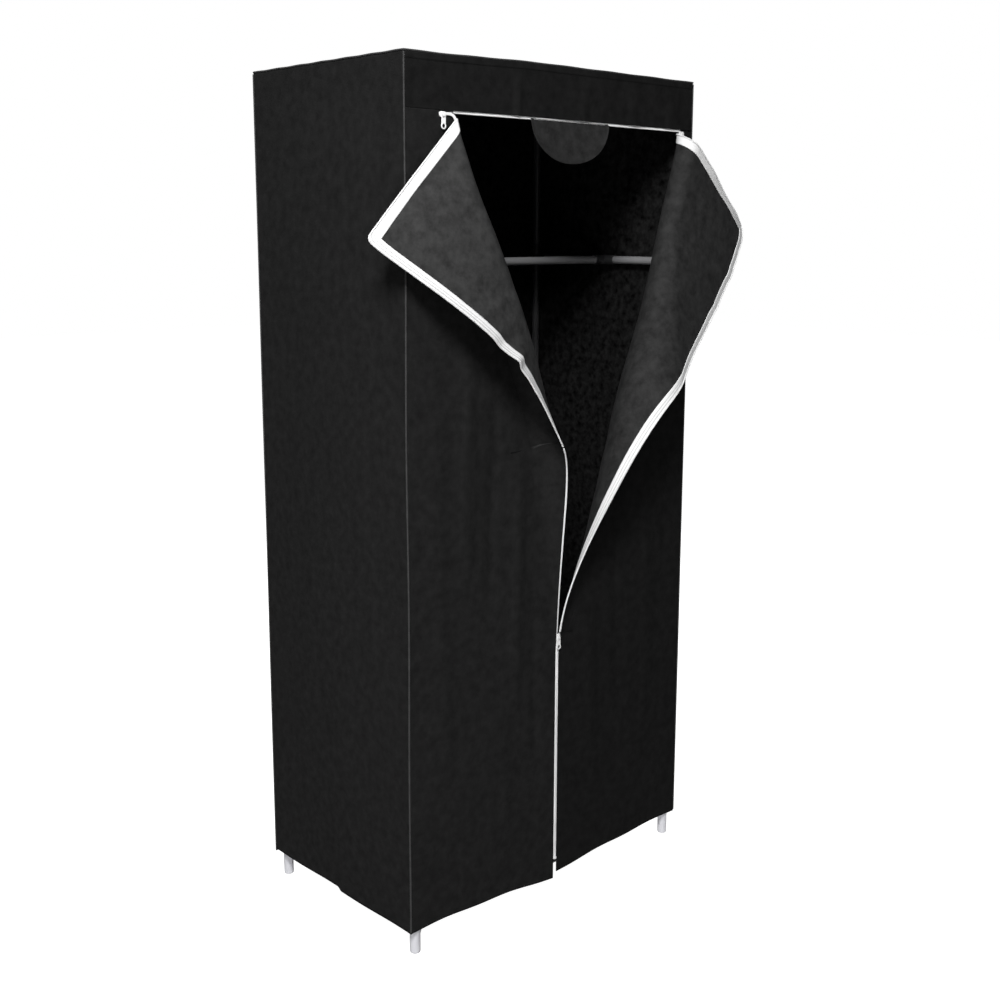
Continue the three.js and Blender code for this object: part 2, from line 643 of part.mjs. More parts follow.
// A slider's outer half with its crown, lying on the front with the zip running along Z or X
function slider(turned) {
  const long = turned ? sliderWidth : sliderLength;
  const wide = turned ? sliderLength : sliderWidth;
  const outline = new THREE.Shape();
  const chamfer = sliderThickness;
  outline.moveTo(-wide / 2 + chamfer, -long / 2);
  outline.lineTo(wide / 2 - chamfer, -long / 2);
  outline.lineTo(wide / 2, -long / 2 + chamfer);
  outline.lineTo(wide / 2, long / 2 - chamfer);
  outline.lineTo(wide / 2 - chamfer, long / 2);
  outline.lineTo(-wide / 2 + chamfer, long / 2);
  outline.lineTo(-wide / 2, long / 2 - chamfer);
  outline.lineTo(-wide / 2, -long / 2 + chamfer);
  outline.closePath();
  const block = new THREE.ExtrudeGeometry(outline, { depth: sliderThickness, bevelEnabled: false });
  block.rotateX(Math.PI / 2);
  const arch = new THREE.Shape();
  const height = crownGap + crownWall;
  const sunk = sliderThickness / 2;
  arch.moveTo(-crownLength / 2, -sunk);
  arch.lineTo(-crownLength / 2, height - crownWall / 2);
  arch.lineTo(-crownLength / 2 + crownWall / 2, height);
  arch.lineTo(crownLength / 2 - crownWall / 2, height);
  arch.lineTo(crownLength / 2, height - crownWall / 2);
  arch.lineTo(crownLength / 2, -sunk);
  arch.lineTo(crownLength / 2 - crownWall, -sunk);
  arch.lineTo(crownLength / 2 - crownWall, crownGap);
  arch.lineTo(-crownLength / 2 + crownWall, crownGap);
  arch.lineTo(-crownLength / 2 + crownWall, -sunk);
  arch.closePath();
  const crown = new THREE.ExtrudeGeometry(arch, { depth: crownWidth, bevelEnabled: false });
  crown.translate(0, 0, -crownWidth / 2);
  crown.rotateY(Math.PI / 2);
  crown.rotateX(Math.PI);
  crown.translate(0, -sliderThickness, 0);
  return toGeometry(toSolid(block).add(toSolid(crown)));
}

// A pull: a flat plate with a slot at the top for the crown and a hole at its rounded end.
// Its own origin is the middle of the bar above the slot, which it swings about.
function pull() {
  const outline = new THREE.Shape();
  const top = pullBar / 2;
  const bottom = top - pullLength;
  const end = pullWidth / 2;
  outline.moveTo(-pullWidth / 2, top);
  outline.lineTo(-pullWidth / 2, bottom + end);
  outline.absarc(0, bottom + end, end, Math.PI, 2 * Math.PI, false);
  outline.lineTo(pullWidth / 2, top);
  outline.closePath();
  const slot = new THREE.Path();
  slot.moveTo(-pullSlotWidth / 2, -pullBar / 2);
  slot.lineTo(pullSlotWidth / 2, -pullBar / 2);
  slot.lineTo(pullSlotWidth / 2, -pullBar / 2 - pullSlot);
  slot.lineTo(-pullSlotWidth / 2, -pullBar / 2 - pullSlot);
  slot.closePath();
  const hole = new THREE.Path();
  hole.absarc(0, bottom + end, pullHole, 0, 2 * Math.PI, true);
  outline.holes.push(slot, hole);
  const plate = new THREE.ExtrudeGeometry(outline, { depth: pullThickness, bevelEnabled: false, curveSegments: roundSteps });
  plate.translate(0, 0, -pullThickness / 2);
  plate.rotateX(Math.PI / 2);
  return plate;
}

for (const [name, x, z, turned] of [
  ['header_left', -headerZipLeftEnd, headerBottom - sliderWidth / 2 - seamGap, true],
  ['header_right', headerZipRightEnd, headerBottom - sliderWidth / 2 - seamGap, true],
  ['middle', 0, sliderHeight, false],
]) {
  const face = -halfDepthAt(z) - tapeGap;
  const body = add(`slider_${name}`, slider(turned), whiteMetal);
  body.position.set(x, face, z);
  const handle = add(`pull_${name}`, pull(), whiteMetal);
  handle.position.set(x, face - sliderThickness - crownGap / 2, z);
}

export default wardrobe;
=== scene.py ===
"""The portable fabric wardrobe as it stands in the photograph: a zipped cloth cover over a tube frame,
with the two upper front halves folded out. Metres, +Z up, the front faces -Y, and the origin is the
middle of the front left foot's underside."""
import math

import bpy
import numpy as np
from mathutils import Matrix


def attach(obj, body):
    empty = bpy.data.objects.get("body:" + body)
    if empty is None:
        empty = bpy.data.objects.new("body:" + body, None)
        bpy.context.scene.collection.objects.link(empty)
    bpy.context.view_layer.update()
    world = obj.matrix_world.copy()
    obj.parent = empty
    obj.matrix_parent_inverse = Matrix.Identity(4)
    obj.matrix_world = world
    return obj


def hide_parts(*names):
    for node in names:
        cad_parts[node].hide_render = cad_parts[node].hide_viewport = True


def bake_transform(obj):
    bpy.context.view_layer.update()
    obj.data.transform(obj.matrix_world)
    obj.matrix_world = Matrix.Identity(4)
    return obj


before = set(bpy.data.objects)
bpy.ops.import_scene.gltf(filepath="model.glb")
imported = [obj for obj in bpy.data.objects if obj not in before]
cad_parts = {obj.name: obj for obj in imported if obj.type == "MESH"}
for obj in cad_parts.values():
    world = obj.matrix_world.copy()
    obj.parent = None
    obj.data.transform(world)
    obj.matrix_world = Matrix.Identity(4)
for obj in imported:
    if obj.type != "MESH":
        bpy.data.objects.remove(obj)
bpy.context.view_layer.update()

# The middle of the floor under the cover, seen from the part's origin
MIDDLE = np.array([0.3575, 0.2065, 0.0])
SIDES = (("left", -1), ("right", 1))
CORNERS = (("front_left", -1, -1), ("front_right", 1, -1), ("back_left", -1, 1), ("back_right", 1, 1))

# ---------------------------------------------------------------- camera and lights
AZIMUTH, ELEVATION, ROLL = math.radians(43.384), math.radians(-11.857), math.radians(0.162)
CAMERA_AT = np.array([-1.7298, -1.8850, 1.3147]) + MIDDLE
FOCAL_LENGTH, SENSOR_WIDTH, CLIP_END = 46.06, 36.0, 60.0
AHEAD = np.array([math.sin(AZIMUTH) * math.cos(ELEVATION), math.cos(AZIMUTH) * math.cos(ELEVATION),
                  math.sin(ELEVATION)])


def place(thing, right, up, back, at):
    """Links an object and puts it at a point, with its own axes along three directions."""
    turn = np.eye(4)
    turn[:3] = np.stack([right, up, back, at], 1)
    thing.matrix_world = Matrix(turn.tolist())
    bpy.context.scene.collection.objects.link(thing)


def photo_camera():
    """The photograph's camera: it looks ahead, level at first, and is then rolled a little."""
    level = np.array([math.cos(AZIMUTH), -math.sin(AZIMUTH), 0.0])
    upright = np.cross(level, AHEAD)
    data = bpy.data.cameras.new("photo_camera")
    data.lens, data.sensor_width, data.sensor_fit = FOCAL_LENGTH, SENSOR_WIDTH, "HORIZONTAL"
    data.clip_end = CLIP_END
    camera = bpy.data.objects.new("photo_camera", data)
    place(camera, level * math.cos(ROLL) + upright * math.sin(ROLL),
          upright * math.cos(ROLL) - level * math.sin(ROLL), -AHEAD, CAMERA_AT)
    bpy.context.scene.camera = camera


def area_light(name, at, aim, size, power):
    """A square soft light at a point, turned to face another point."""
    data = bpy.data.lights.new(name, "AREA")
    data.shape, data.size, data.energy = "SQUARE", size, power
    back = (at - aim) / np.linalg.norm(at - aim)
    side = np.cross([0, 0, 1.0], back)
    side /= np.linalg.norm(side)
    place(bpy.data.objects.new(name, data), side, np.cross(back, side), back, at)


# ---------------------------------------------------------------- materials
def new_material(name, colour, roughness, specular=0.5, coat=0.0, sheen=0.0):
    """A material with its shader's own sockets set. Returns the material, its node tree and its shader."""
    material = bpy.data.materials.new(name)
    material.use_nodes = True
    tree = material.node_tree
    shader = tree.nodes["Principled BSDF"]
    for key, value in (("Base Color", (*colour, 1.0)), ("Roughness", roughness), ("Metallic", 0.0),
                       ("Specular IOR Level", specular), ("Coat Weight", coat), ("Coat Roughness", 0.12),
                       ("Sheen Weight", sheen), ("Sheen Roughness", 0.5)):
        shader.inputs[key].default_value = value
    return material, tree, shader


def add_node(tree, kind, inputs=(), **settings):
    """A node of one kind. inputs gives each input, by name or number, its value or the socket that feeds it,
    and the settings are the node's other attributes."""
    node = tree.nodes.new(kind)
    for key, value in settings.items():
        setattr(node, key, value)
    for key, value in dict(inputs).items():
        if isinstance(value, bpy.types.NodeSocket):
            tree.links.new(value, node.inputs[key])
        else:
            node.inputs[key].default_value = value
    return node


def reckon(tree, operation, *values):
    """The result of one sum on sockets or numbers."""
    return add_node(tree, "ShaderNodeMath", enumerate(values), operation=operation).outputs[0]


def map_range(tree, value, low, high, first, last, kind="SMOOTHSTEP"):
    """A value carried from first to last as it goes from low to high."""
    return add_node(tree, "ShaderNodeMapRange", {"Value": value, "From Min": low, "From Max": high, "To Min": first,
                                                 "To Max": last}, interpolation_type=kind).outputs["Result"]


def object_point(tree, scale=(1, 1, 1)):
    """The surface point in the wardrobe's own frame, stretched by a scale."""
    point = add_node(tree, "ShaderNodeTexCoord").outputs["Object"]
    return add_node(tree, "ShaderNodeMapping", {"Vector": point, "Scale": scale}).outputs["Vector"]


def noise(tree, scale, detail, roughness=0.5, stretch=(1, 1, 1)):
    """A noise over the wardrobe's own frame, as a value about one half."""
    return add_node(tree, "ShaderNodeTexNoise", {"Vector": object_point(tree, stretch), "Scale": scale,
                                                 "Detail": detail, "Roughness": roughness}).outputs["Fac"]


def bump_from(tree, shader, parts):
    """Bumps stacked on the shader's normal: each part is a height socket, its strength and its depth."""
    below = {}
    for height, strength, distance in parts:
        bump = add_node(tree, "ShaderNodeBump",
                        {"Height": height, "Strength": strength, "Distance": distance, **below})
        below = {"Normal": bump.outputs["Normal"]}
    tree.links.new(below["Normal"], shader.inputs["Normal"])


def ramp(tree, source, stops):
    """A colour ramp over a value: stops are (position, grey or colour)."""
    node = add_node(tree, "ShaderNodeValToRGB", {"Fac": source})
    steps = node.color_ramp.elements
    for step, (position, colour) in zip(steps, stops):
        step.position = position
        step.color = (*((colour,) * 3 if isinstance(colour, (int, float)) else colour), 1.0)
    return node.outputs["Color"]


def cloth_material(name, grey, roughness, specular, sheen, mottled, blotch=55.0):
    """Non-woven cloth: a field of small pressed dots, felted fibres and a slow change of tone, from even to
    mottled. It is lit hard, as in a white studio, so its own tone is very dark."""
    colour = (grey, grey, grey * 1.04)
    material, tree, shader = new_material(name, colour, roughness, specular=specular, sheen=sheen)
    shader.inputs["Sheen Tint"].default_value = (0.75, 0.77, 0.8, 1.0)
    dots = add_node(tree, "ShaderNodeTexVoronoi",
                    {"Vector": object_point(tree), "Scale": 420.0, "Randomness": 0.25}).outputs["Distance"]
    fibres = noise(tree, 1400.0, 4.0, 0.65, (1, 1, 0.5))
    mottle = noise(tree, blotch, 5.0, 0.6)
    tone = ramp(tree, mottle, [(0.3, grey * (1 - mottled)), (0.7, grey * (1 + mottled * 1.3))])
    pressed = ramp(tree, dots, [(0.0, 0.72), (0.35, 1.0)])
    mix = add_node(tree, "ShaderNodeMix", {"Factor": 1.0, "A": tone, "B": pressed}, data_type="RGBA",
                   blend_type="MULTIPLY")
    tree.links.new(mix.outputs["Result"], shader.inputs["Base Color"])
    bump_from(tree, shader, [(dots, 0.35, 0.0006), (fibres, 0.3, 0.0003), (mottle, 0.25, 0.0012)])
    return material


def tape_material():
    """White zip tape: fine ribs across it and two rows of grey stitches along it, on its own flat pattern."""
    material, tree, shader = new_material("zip_tape_weave", (0.66, 0.66, 0.66), 0.75, specular=0.2, sheen=0.05)
    point = add_node(tree, "ShaderNodeUVMap", uv_map="flat").outputs["UV"]
    parts = add_node(tree, "ShaderNodeSeparateXYZ", {"Vector": point}).outputs
    stitch_pitch, stitch_share, rib_pitch = 0.0026, 0.72, 0.0011

    def band(centre, half):
        """One where the distance across the tape lies within half of the centre, fading at its sides."""
        away = reckon(tree, "ABSOLUTE", reckon(tree, "SUBTRACT", parts["Y"], centre))
        return map_range(tree, away, half, half * 1.6, 1.0, 0.0)

    saw = reckon(tree, "FRACT", reckon(tree, "MULTIPLY", parts["X"], 1 / stitch_pitch))
    rows = reckon(tree, "MAXIMUM", band(0.0066, 0.0008), band(0.0122, 0.0006))
    stitches = reckon(tree, "MULTIPLY", rows, reckon(tree, "LESS_THAN", saw, stitch_share))
    tree.links.new(ramp(tree, stitches, [(0.0, 0.76), (1.0, 0.46)]), shader.inputs["Base Color"])
    ribs = add_node(tree, "ShaderNodeTexWave", {"Vector": point, "Scale": 1 / rib_pitch / 6.2832},
                    wave_type="BANDS", bands_direction="X").outputs["Color"]
    bump_from(tree, shader, [(ribs, 0.35, 0.0002), (reckon(tree, "MULTIPLY", stitches, -1.0), 0.6, 0.0004)])
    return material


def plain_bumpy(name, colour, roughness, grain, depth, **more):
    """A moulded or coated finish: one colour with a slight change of tone and a fine grain in its gloss."""
    material, tree, shader = new_material(name, colour, roughness, **more)
    fine, slow = noise(tree, grain, 4.0, 0.6), noise(tree, 18.0, 3.0)
    darker, lighter = tuple(c * 0.93 for c in colour), tuple(min(c * 1.06, 1.0) for c in colour)
    tone = ramp(tree, slow, [(0.3, darker), (0.7, lighter)])
    gloss = map_range(tree, fine, 0.3, 0.7, roughness * 0.85, roughness * 1.15, "LINEAR")
    tree.links.new(tone, shader.inputs["Base Color"])
    tree.links.new(gloss, shader.inputs["Roughness"])
    bump_from(tree, shader, [(fine, 0.2, depth)])
    return material


CLOTH = cloth_material("black_nonwoven", 0.0130, 0.85, 0.02, 0.002, 0.22)
# A darker copy of the cloth, for the header and the right front half and flap: painted shade.
PAINTED_SHADE_CLOTH = cloth_material("black_nonwoven_painted_shade", 0.0092, 0.85, 0.02, 0.002, 0.22)
# A darker copy of the flaps' inner face, for the right flap: painted shade.
PAINTED_SHADE_LINING = cloth_material("black_nonwoven_inner_face_painted_shade", 0.0215, 0.7, 0.06, 0.006, 0.35)
TAB_CLOTH = cloth_material("black_nonwoven_tab", 0.0200, 0.75, 0.04, 0.004, 0.35)
LINING = cloth_material("black_nonwoven_inner_face", 0.0300, 0.7, 0.06, 0.006, 0.35)
# The inner face of the walls and the top: a far darker copy of the inner face, painted shade inside the cover, with
# a strong mottle of tone.
PAINTED_SHADE_WALL_LINING = cloth_material("black_nonwoven_inside_walls_painted_shade", 0.0062, 0.9, 0.02, 0.001, 0.95, 75.0)
# A lighter, glossier copy of the cloth for the piped seams: a painted highlight along each seam.
PAINTED_HIGHLIGHT_SEAM = cloth_material("black_nonwoven_seam_painted_highlight", 0.0380, 0.7, 0.12, 0.02, 0.2)
TAPE = tape_material()
COIL = plain_bumpy("white_zip_coil", (0.72, 0.72, 0.72), 0.42, 900.0, 0.0001)
ENAMEL = plain_bumpy("white_enamel", (0.86, 0.86, 0.86), 0.3, 300.0, 0.00005, coat=0.3)
TUBE = plain_bumpy("gloss_black_tube", (0.048, 0.048, 0.050), 0.3, 700.0, 0.00008, coat=0.5)
# The black tube made mid grey for the rail and its side bars: painted light on them.
PAINTED_LIGHT_RAIL_TUBE = plain_bumpy("black_rail_painted_light", (0.170, 0.170, 0.174), 0.42, 700.0, 0.00008, coat=0.2)
PALE = plain_bumpy("pale_moulding", (0.66, 0.66, 0.695), 0.42, 260.0, 0.00015)
DARK = plain_bumpy("black_moulding", (0.022, 0.022, 0.023), 0.4, 260.0, 0.00015)


# ---------------------------------------------------------------- meshes from grids
def grid_faces(rows, columns, wrap_rows=False, wrap_columns=False):
    """The four-sided faces between neighbouring points of a grid, wrapped round where asked."""
    row = np.arange(rows if wrap_rows else rows - 1)
    column = np.arange(columns if wrap_columns else columns - 1)
    r, c = (v.ravel() for v in np.meshgrid(row, column, indexing="ij"))
    down, right = (r + 1) % rows, (c + 1) % columns
    return np.stack([r * columns + c, r * columns + right, down * columns + right, down * columns + c], 1)


def mesh_piece(name, points, faces, material, flat=None, smooth=True, second=None, second_faces=(), sharp_faces=()):
    """A mesh from points and a list of face arrays. flat gives each point's place on its flat pattern, in metres.
    second is another material, for the face arrays whose numbers are in second_faces. The face arrays whose
    numbers are in sharp_faces are shaded flat."""
    mesh = bpy.data.meshes.new(name)
    points = np.asarray(points, float).reshape(-1, 3)
    sizes = np.concatenate([np.full(len(f), f.shape[1]) for f in faces])
    corners = np.concatenate([f.ravel() for f in faces]).astype(np.int32)
    mesh.vertices.add(len(points))
    mesh.vertices.foreach_set("co", points.astype(np.float32).ravel())
    mesh.loops.add(len(corners))
    mesh.loops.foreach_set("vertex_index", corners)
    mesh.polygons.add(len(sizes))
    mesh.polygons.foreach_set("loop_start", (np.cumsum(sizes) - sizes).astype(np.int32))
    rounded = np.concatenate([np.full(len(f), smooth and i not in sharp_faces) for i, f in enumerate(faces)])
    mesh.polygons.foreach_set("use_smooth", rounded)
    mesh.update(calc_edges=True)
    if flat is not None:
        layer = mesh.uv_layers.new(name="flat")
        layer.data.foreach_set("uv", np.asarray(flat, np.float32).reshape(-1, 2)[corners].ravel())
    mesh.materials.append(material)
    if second is not None:
        mesh.materials.append(second)
        which = np.concatenate([np.full(len(f), int(i in second_faces)) for i, f in enumerate(faces)])
        mesh.polygons.foreach_set("material_index", which.astype(np.int32))
    mesh.validate()
    piece = bpy.data.objects.new(name, mesh)
    bpy.context.scene.collection.objects.link(piece)
    return piece


def cloth_piece(name, points, material, thickness=0.0010, flat=None, inner=None, inner_first=False):
    """A sheet of cloth from a grid of points on its middle surface: the grid is thickened both ways along its
    normals, and its four edges are closed with a strip each. inner is the finish of the face that the normals
    point away from, or towards where inner_first is set."""
    rows, columns = points.shape[:2]
    normal = np.cross(np.gradient(points, axis=1), np.gradient(points, axis=0))
    normal /= np.maximum(np.linalg.norm(normal, axis=2, keepdims=True), 1e-12)
    both = np.stack([points + normal * thickness / 2, points - normal * thickness / 2])
    count = rows * columns
    faces = grid_faces(rows, columns)
    rim = np.concatenate([np.arange(columns), np.arange(1, rows) * columns + columns - 1,
                          (rows - 1) * columns + np.arange(columns - 2, -1, -1),
                          np.arange(rows - 2, 0, -1) * columns])
    after = np.roll(rim, -1)
    edges = np.stack([after, rim, rim + count, after + count], 1)
    flats = None if flat is None else np.stack([flat, flat])
    return mesh_piece(name, both, [faces, faces[:, ::-1] + count, edges], material, flats, second=inner,
                      second_faces=(0,) if inner_first else (1,), sharp_faces=(2,))


def ring_round(direction, around):
    """Points on a circle of radius one, square to a direction."""
    helper = np.array([0.0, 0.0, 1.0]) if abs(direction[2]) < 0.9 else np.array([1.0, 0.0, 0.0])
    side = np.cross(helper, direction)
    side /= np.linalg.norm(side)
    angle = np.arange(around) / around * 2 * np.pi
    return np.cos(angle)[:, None] * side + np.sin(angle)[:, None] * np.cross(direction, side)


def turned(profile, start, direction, around=48, saddle=None):
    """A profile of (radius, distance) points turned about a line. A profile that starts and ends on the line
    closes there in a point; any other is closed into a ring. With a saddle, a direction and a radius, the first
    points lie on a round bar of that radius that crosses the line, so that the piece fits over it."""
    profile, start, direction = (np.asarray(v, float) for v in (profile, start, direction))
    solid = profile[0, 0] == 0
    body = profile[1:-1] if solid else profile
    grid = (start + body[None, :, 1, None] * direction
            + body[None, :, 0, None] * ring_round(direction, around)[:, None, :])
    low, high = profile[0, 1], profile[-1, 1]
    if saddle is not None:
        off = (grid - start) @ np.cross(direction, saddle[0])
        lower = body[None, :, 1] < saddle[1]
        shift = np.where(lower, np.sqrt(np.maximum(saddle[1] ** 2 - off ** 2, 0)) - body[None, :, 1], 0)
        grid = grid + shift[..., None] * direction
        low = saddle[1]
    rows, columns = grid.shape[:2]
    faces = [grid_faces(rows, columns, wrap_rows=True, wrap_columns=not solid)[:, ::-1]]
    points = grid.reshape(-1, 3)
    if solid:
        points = np.concatenate([points, start + np.array([[low], [high]]) * direction])
        first = np.arange(rows) * columns
        after, count = np.roll(first, -1), rows * columns
        faces.append(np.stack([first, np.full(rows, count), after], 1))
        faces.append(np.stack([after + columns - 1, np.full(rows, count + 1), first + columns - 1], 1))
    return points, faces


def tube_along(path, radius, sides):
    """A round tube carried along a path of points, with a radius for each: the rings lie square to the path,
    and are turned as little as possible along it. Its ends close in a small dome. Returns points and faces."""
    ahead = np.gradient(path, axis=0)
    ahead /= np.linalg.norm(ahead, axis=1, keepdims=True)
    helper = np.array([0.0, 0.0, 1.0]) if abs(ahead[:, 2]).max() < 0.9 else np.array([1.0, 0.13, 0.0])
    side = np.cross(helper, ahead)
    side /= np.linalg.norm(side, axis=1, keepdims=True)
    path, side, other = (np.concatenate([v[:1], v, v[-1:]]) for v in (path, side, np.cross(ahead, side)))
    radius = np.concatenate([[radius[0] * 0.02], radius, [radius[-1] * 0.02]])
    angle = np.arange(sides) / sides * 2 * np.pi
    rings = (path[:, None, :] + radius[:, None, None] * (np.cos(angle)[None, :, None] * side[:, None, :]
             + np.sin(angle)[None, :, None] * other[:, None, :]))
    count = len(path)
    caps = [np.arange(sides)[::-1][None, :], ((count - 1) * sides + np.arange(sides))[None, :]]
    return rings.reshape(-1, 3), [grid_faces(count, sides, wrap_columns=True)] + caps


def joined(parts):
    """Several sets of points and face arrays as one set."""
    points, faces, first = [], [], 0
    for part_points, part_faces in parts:
        points.append(part_points)
        faces += [f + first for f in part_faces]
        first += len(part_points)
    return np.concatenate(points), faces


def outline_plate(outline, thickness, at, across, up):
    """A flat plate: an outline in two directions, pushed both ways along the third. Returns points and faces."""
    outline, across, up = (np.asarray(v, float) for v in (outline, across, up))
    out = np.cross(across, up) * thickness / 2
    flat = np.asarray(at, float) + outline[:, :1] * across + outline[:, 1:] * up
    n = len(outline)
    ring = np.arange(n)
    sides = np.stack([(ring + 1) % n, ring, ring + n, (ring + 1) % n + n], 1)
    return np.concatenate([flat + out, flat - out]), [ring[None, :], ring[::-1][None, :] + n, sides]


def on_body(piece, body, slot, *nodes):
    """The piece moves with a body and stands for these nodes, which are hidden. slot is not used."""
    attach(piece, body)
    if nodes:
        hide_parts(*nodes)
    return piece


def solid_piece(name, shape, material, body, slot, *nodes, smooth=True):
    """A piece from its points and face arrays, on a body."""
    return on_body(mesh_piece(name, *shape, material, smooth=smooth), body, slot, *nodes)


def smooth_step(value, low, high):
    """Zero below low, one above high, and an even S between."""
    share = np.clip((value - low) / (high - low), 0, 1)
    return share * share * (3 - 2 * share)


def bell(value, centre, width):
    """A smooth hump of height one about a centre."""
    return np.exp(-((value - centre) / width) ** 2)


def path_length(path):
    """How far along a path each of its points lies."""
    return np.concatenate([[0], np.cumsum(np.linalg.norm(np.diff(path, axis=0), axis=1))])


def points_along(path, at):
    """The points of a path at these distances along it."""
    length = path_length(path)
    return np.stack([np.interp(at, length, path[:, k]) for k in range(3)], 1)


# ---------------------------------------------------------------- the cover's sizes
HEIGHT, HEM = 1.600, 0.050
WIDTH_TOP, WIDTH_HEM, DEPTH_TOP, DEPTH_HEM = 0.738, 0.756, 0.436, 0.440
CLOTH_THICKNESS, SEAM_GAP = 0.0012, 0.0004
HEADER_BOTTOM = HEIGHT - 0.0892
FLAP_TOP = HEIGHT - 0.0959
SLIDER_AT = 0.537
CORNER_RADIUS, TAPE_SHOW, TAPE_WIDTH, CENTRE_GAP = 0.011, 0.0045, 0.0185, 0.003

# Where a sheet ends that is sewn inside its neighbours, and the highest point of a wall
INSET = CLOTH_THICKNESS + SEAM_GAP
WALL_TOP = HEIGHT - INSET

# The rise of the top edge, where along the front it grows in, and from what height the walls follow it
TOP_RISE, RISE_FROM, RISE_TO, RISE_LOW, HEADER_EDGE_SHARE = 0.0048, -0.33, -0.04, 1.3, 0.3


def fall(z):
    """How far down the cover a height lies: zero at the top, one at the hem."""
    return (HEIGHT - z) / (HEIGHT - HEM)


def half_width(z):
    """Half the cover's outer width at a height."""
    return (WIDTH_TOP + (WIDTH_HEM - WIDTH_TOP) * fall(z)) / 2


def half_depth(z):
    """Half the cover's outer depth at a height."""
    return (DEPTH_TOP + (DEPTH_HEM - DEPTH_TOP) * fall(z)) / 2


def top_rise(x, y):
    """How far the cover's top edge stands above its plain height: along the right part of the front most, and
    less towards the back in proportion to the depth."""
    return TOP_RISE * smooth_step(x, RISE_FROM, RISE_TO) * (1 - 0.5 * (0.5 + y / DEPTH_TOP))


def header_edge_rise(x):
    """How far the header's lower edge follows the rise of the top edge."""
    return HEADER_EDGE_SHARE * top_rise(x, -DEPTH_TOP / 2)


def with_top_rise(points):
    """Points of a wall with the top edge's rise, which grows in with height."""
    points = np.array(points, float)
    share = smooth_step(points[..., 2], RISE_LOW, HEIGHT - 0.004)
    points[..., 2] += share * top_rise(points[..., 0] - MIDDLE[0], points[..., 1] - MIDDLE[1])
    return points


# ---------------------------------------------------------------- the folded flaps
# Each list follows the stations, as shares of the fold line from the header down. folds are a front half's slack
# folds (centre, width, depth, lean, low, high), buckles a flap's (centre, width, depth) along the fold line, and
# ruffles the same along its taped edge, from a share of its width outwards.
FOLD_STATIONS = np.array([0, 0.04, 0.15, 0.35, 0.55, 0.75, 1])
LEFT_FOLD = {
    "side": -1, "seam_end": 0.264, "edge_height": 0.915, "end_width": 0.006, "hem_near_zip": 0.024,
    "radius": 0.061 * np.array([0.05, 0.23, 0.43, 0.51, 0.47, 0.88, 1]),
    "turn": math.pi * np.array([1.085, 1.085, 1.043, 0.907, 0.77, 0.654, 0.53]),
    "curl": np.array([-0.37, -0.17, 0.09, 0.32, 0.34, 0.36, 0.36]) / (WIDTH_TOP / 2),
    "start": 0.175 * np.array([0, -0.16, -0.3, -0.3, -0.33, -0.62, -1]),
    "folds": ((-0.235, 0.020, 0.0045, 0.03, 0.62, 1.22), (-0.172, 0.016, -0.0036, 0.05, 0.55, 1.12),
              (-0.110, 0.017, 0.0045, 0.02, 0.35, 0.98), (-0.060, 0.014, -0.0027, -0.02, 0.20, 0.80),
              (-0.300, 0.022, 0.0024, -0.02, 0.25, 1.10), (-0.150, 0.024, 0.0024, -0.06, 0.08, 0.50)),
    "buckles": ((0.10, 0.020, 0.0016), (0.19, 0.026, -0.0014), (0.30, 0.024, 0.0018), (0.42, 0.030, -0.0012),
                (0.52, 0.022, 0.0010)),
    "ruffles": ((0.398, 0.013, -0.0080), (0.360, 0.013, 0.0040), (0.440, 0.015, -0.0012)), "ruffle_from": 0.3,
}
RIGHT_FOLD = {
    "side": 1, "seam_end": 0.335, "edge_height": 0.505, "end_width": 0.006, "hem_near_zip": 0.036,
    "radius": 0.077 * np.array([0.31, 0.31, 0.31, 0.54, 0.91, 1, 0.86]),
    "turn": math.pi * np.array([1.069, 1.033, 0.97, 1.028, 1.111, 1.075, 1.022]),
    "curl": np.array([0.82, 0.69, 0.6, 0.48, 0.69, 1.02, 1.38]) / (WIDTH_TOP / 2),
    "start": 0.030 * np.array([0, -0.22, -0.27, -0.69, -0.72, -1, -0.5]),
    "folds": ((-0.090, 0.020, 0.0033, 0.04, 0.15, 0.90), (-0.170, 0.018, -0.0027, 0.05, 0.25, 1.05),
              (-0.260, 0.022, 0.0033, 0.02, 0.20, 1.15), (-0.320, 0.015, -0.0018, 0.0, 0.5, 1.30)),
    "buckles": ((0.12, 0.022, 0.0018), (0.24, 0.028, -0.0018), (0.37, 0.026, 0.0024), (0.50, 0.030, -0.0020),
                (0.63, 0.028, 0.0020), (0.76, 0.026, -0.0012)),
    "ruffles": ((0.050, 0.012, -0.0022), (0.090, 0.010, -0.0032), (0.160, 0.018, 0.0012), (0.222, 0.014, -0.0022),
                (0.300, 0.012, -0.0016)), "ruffle_from": 0.55,
}


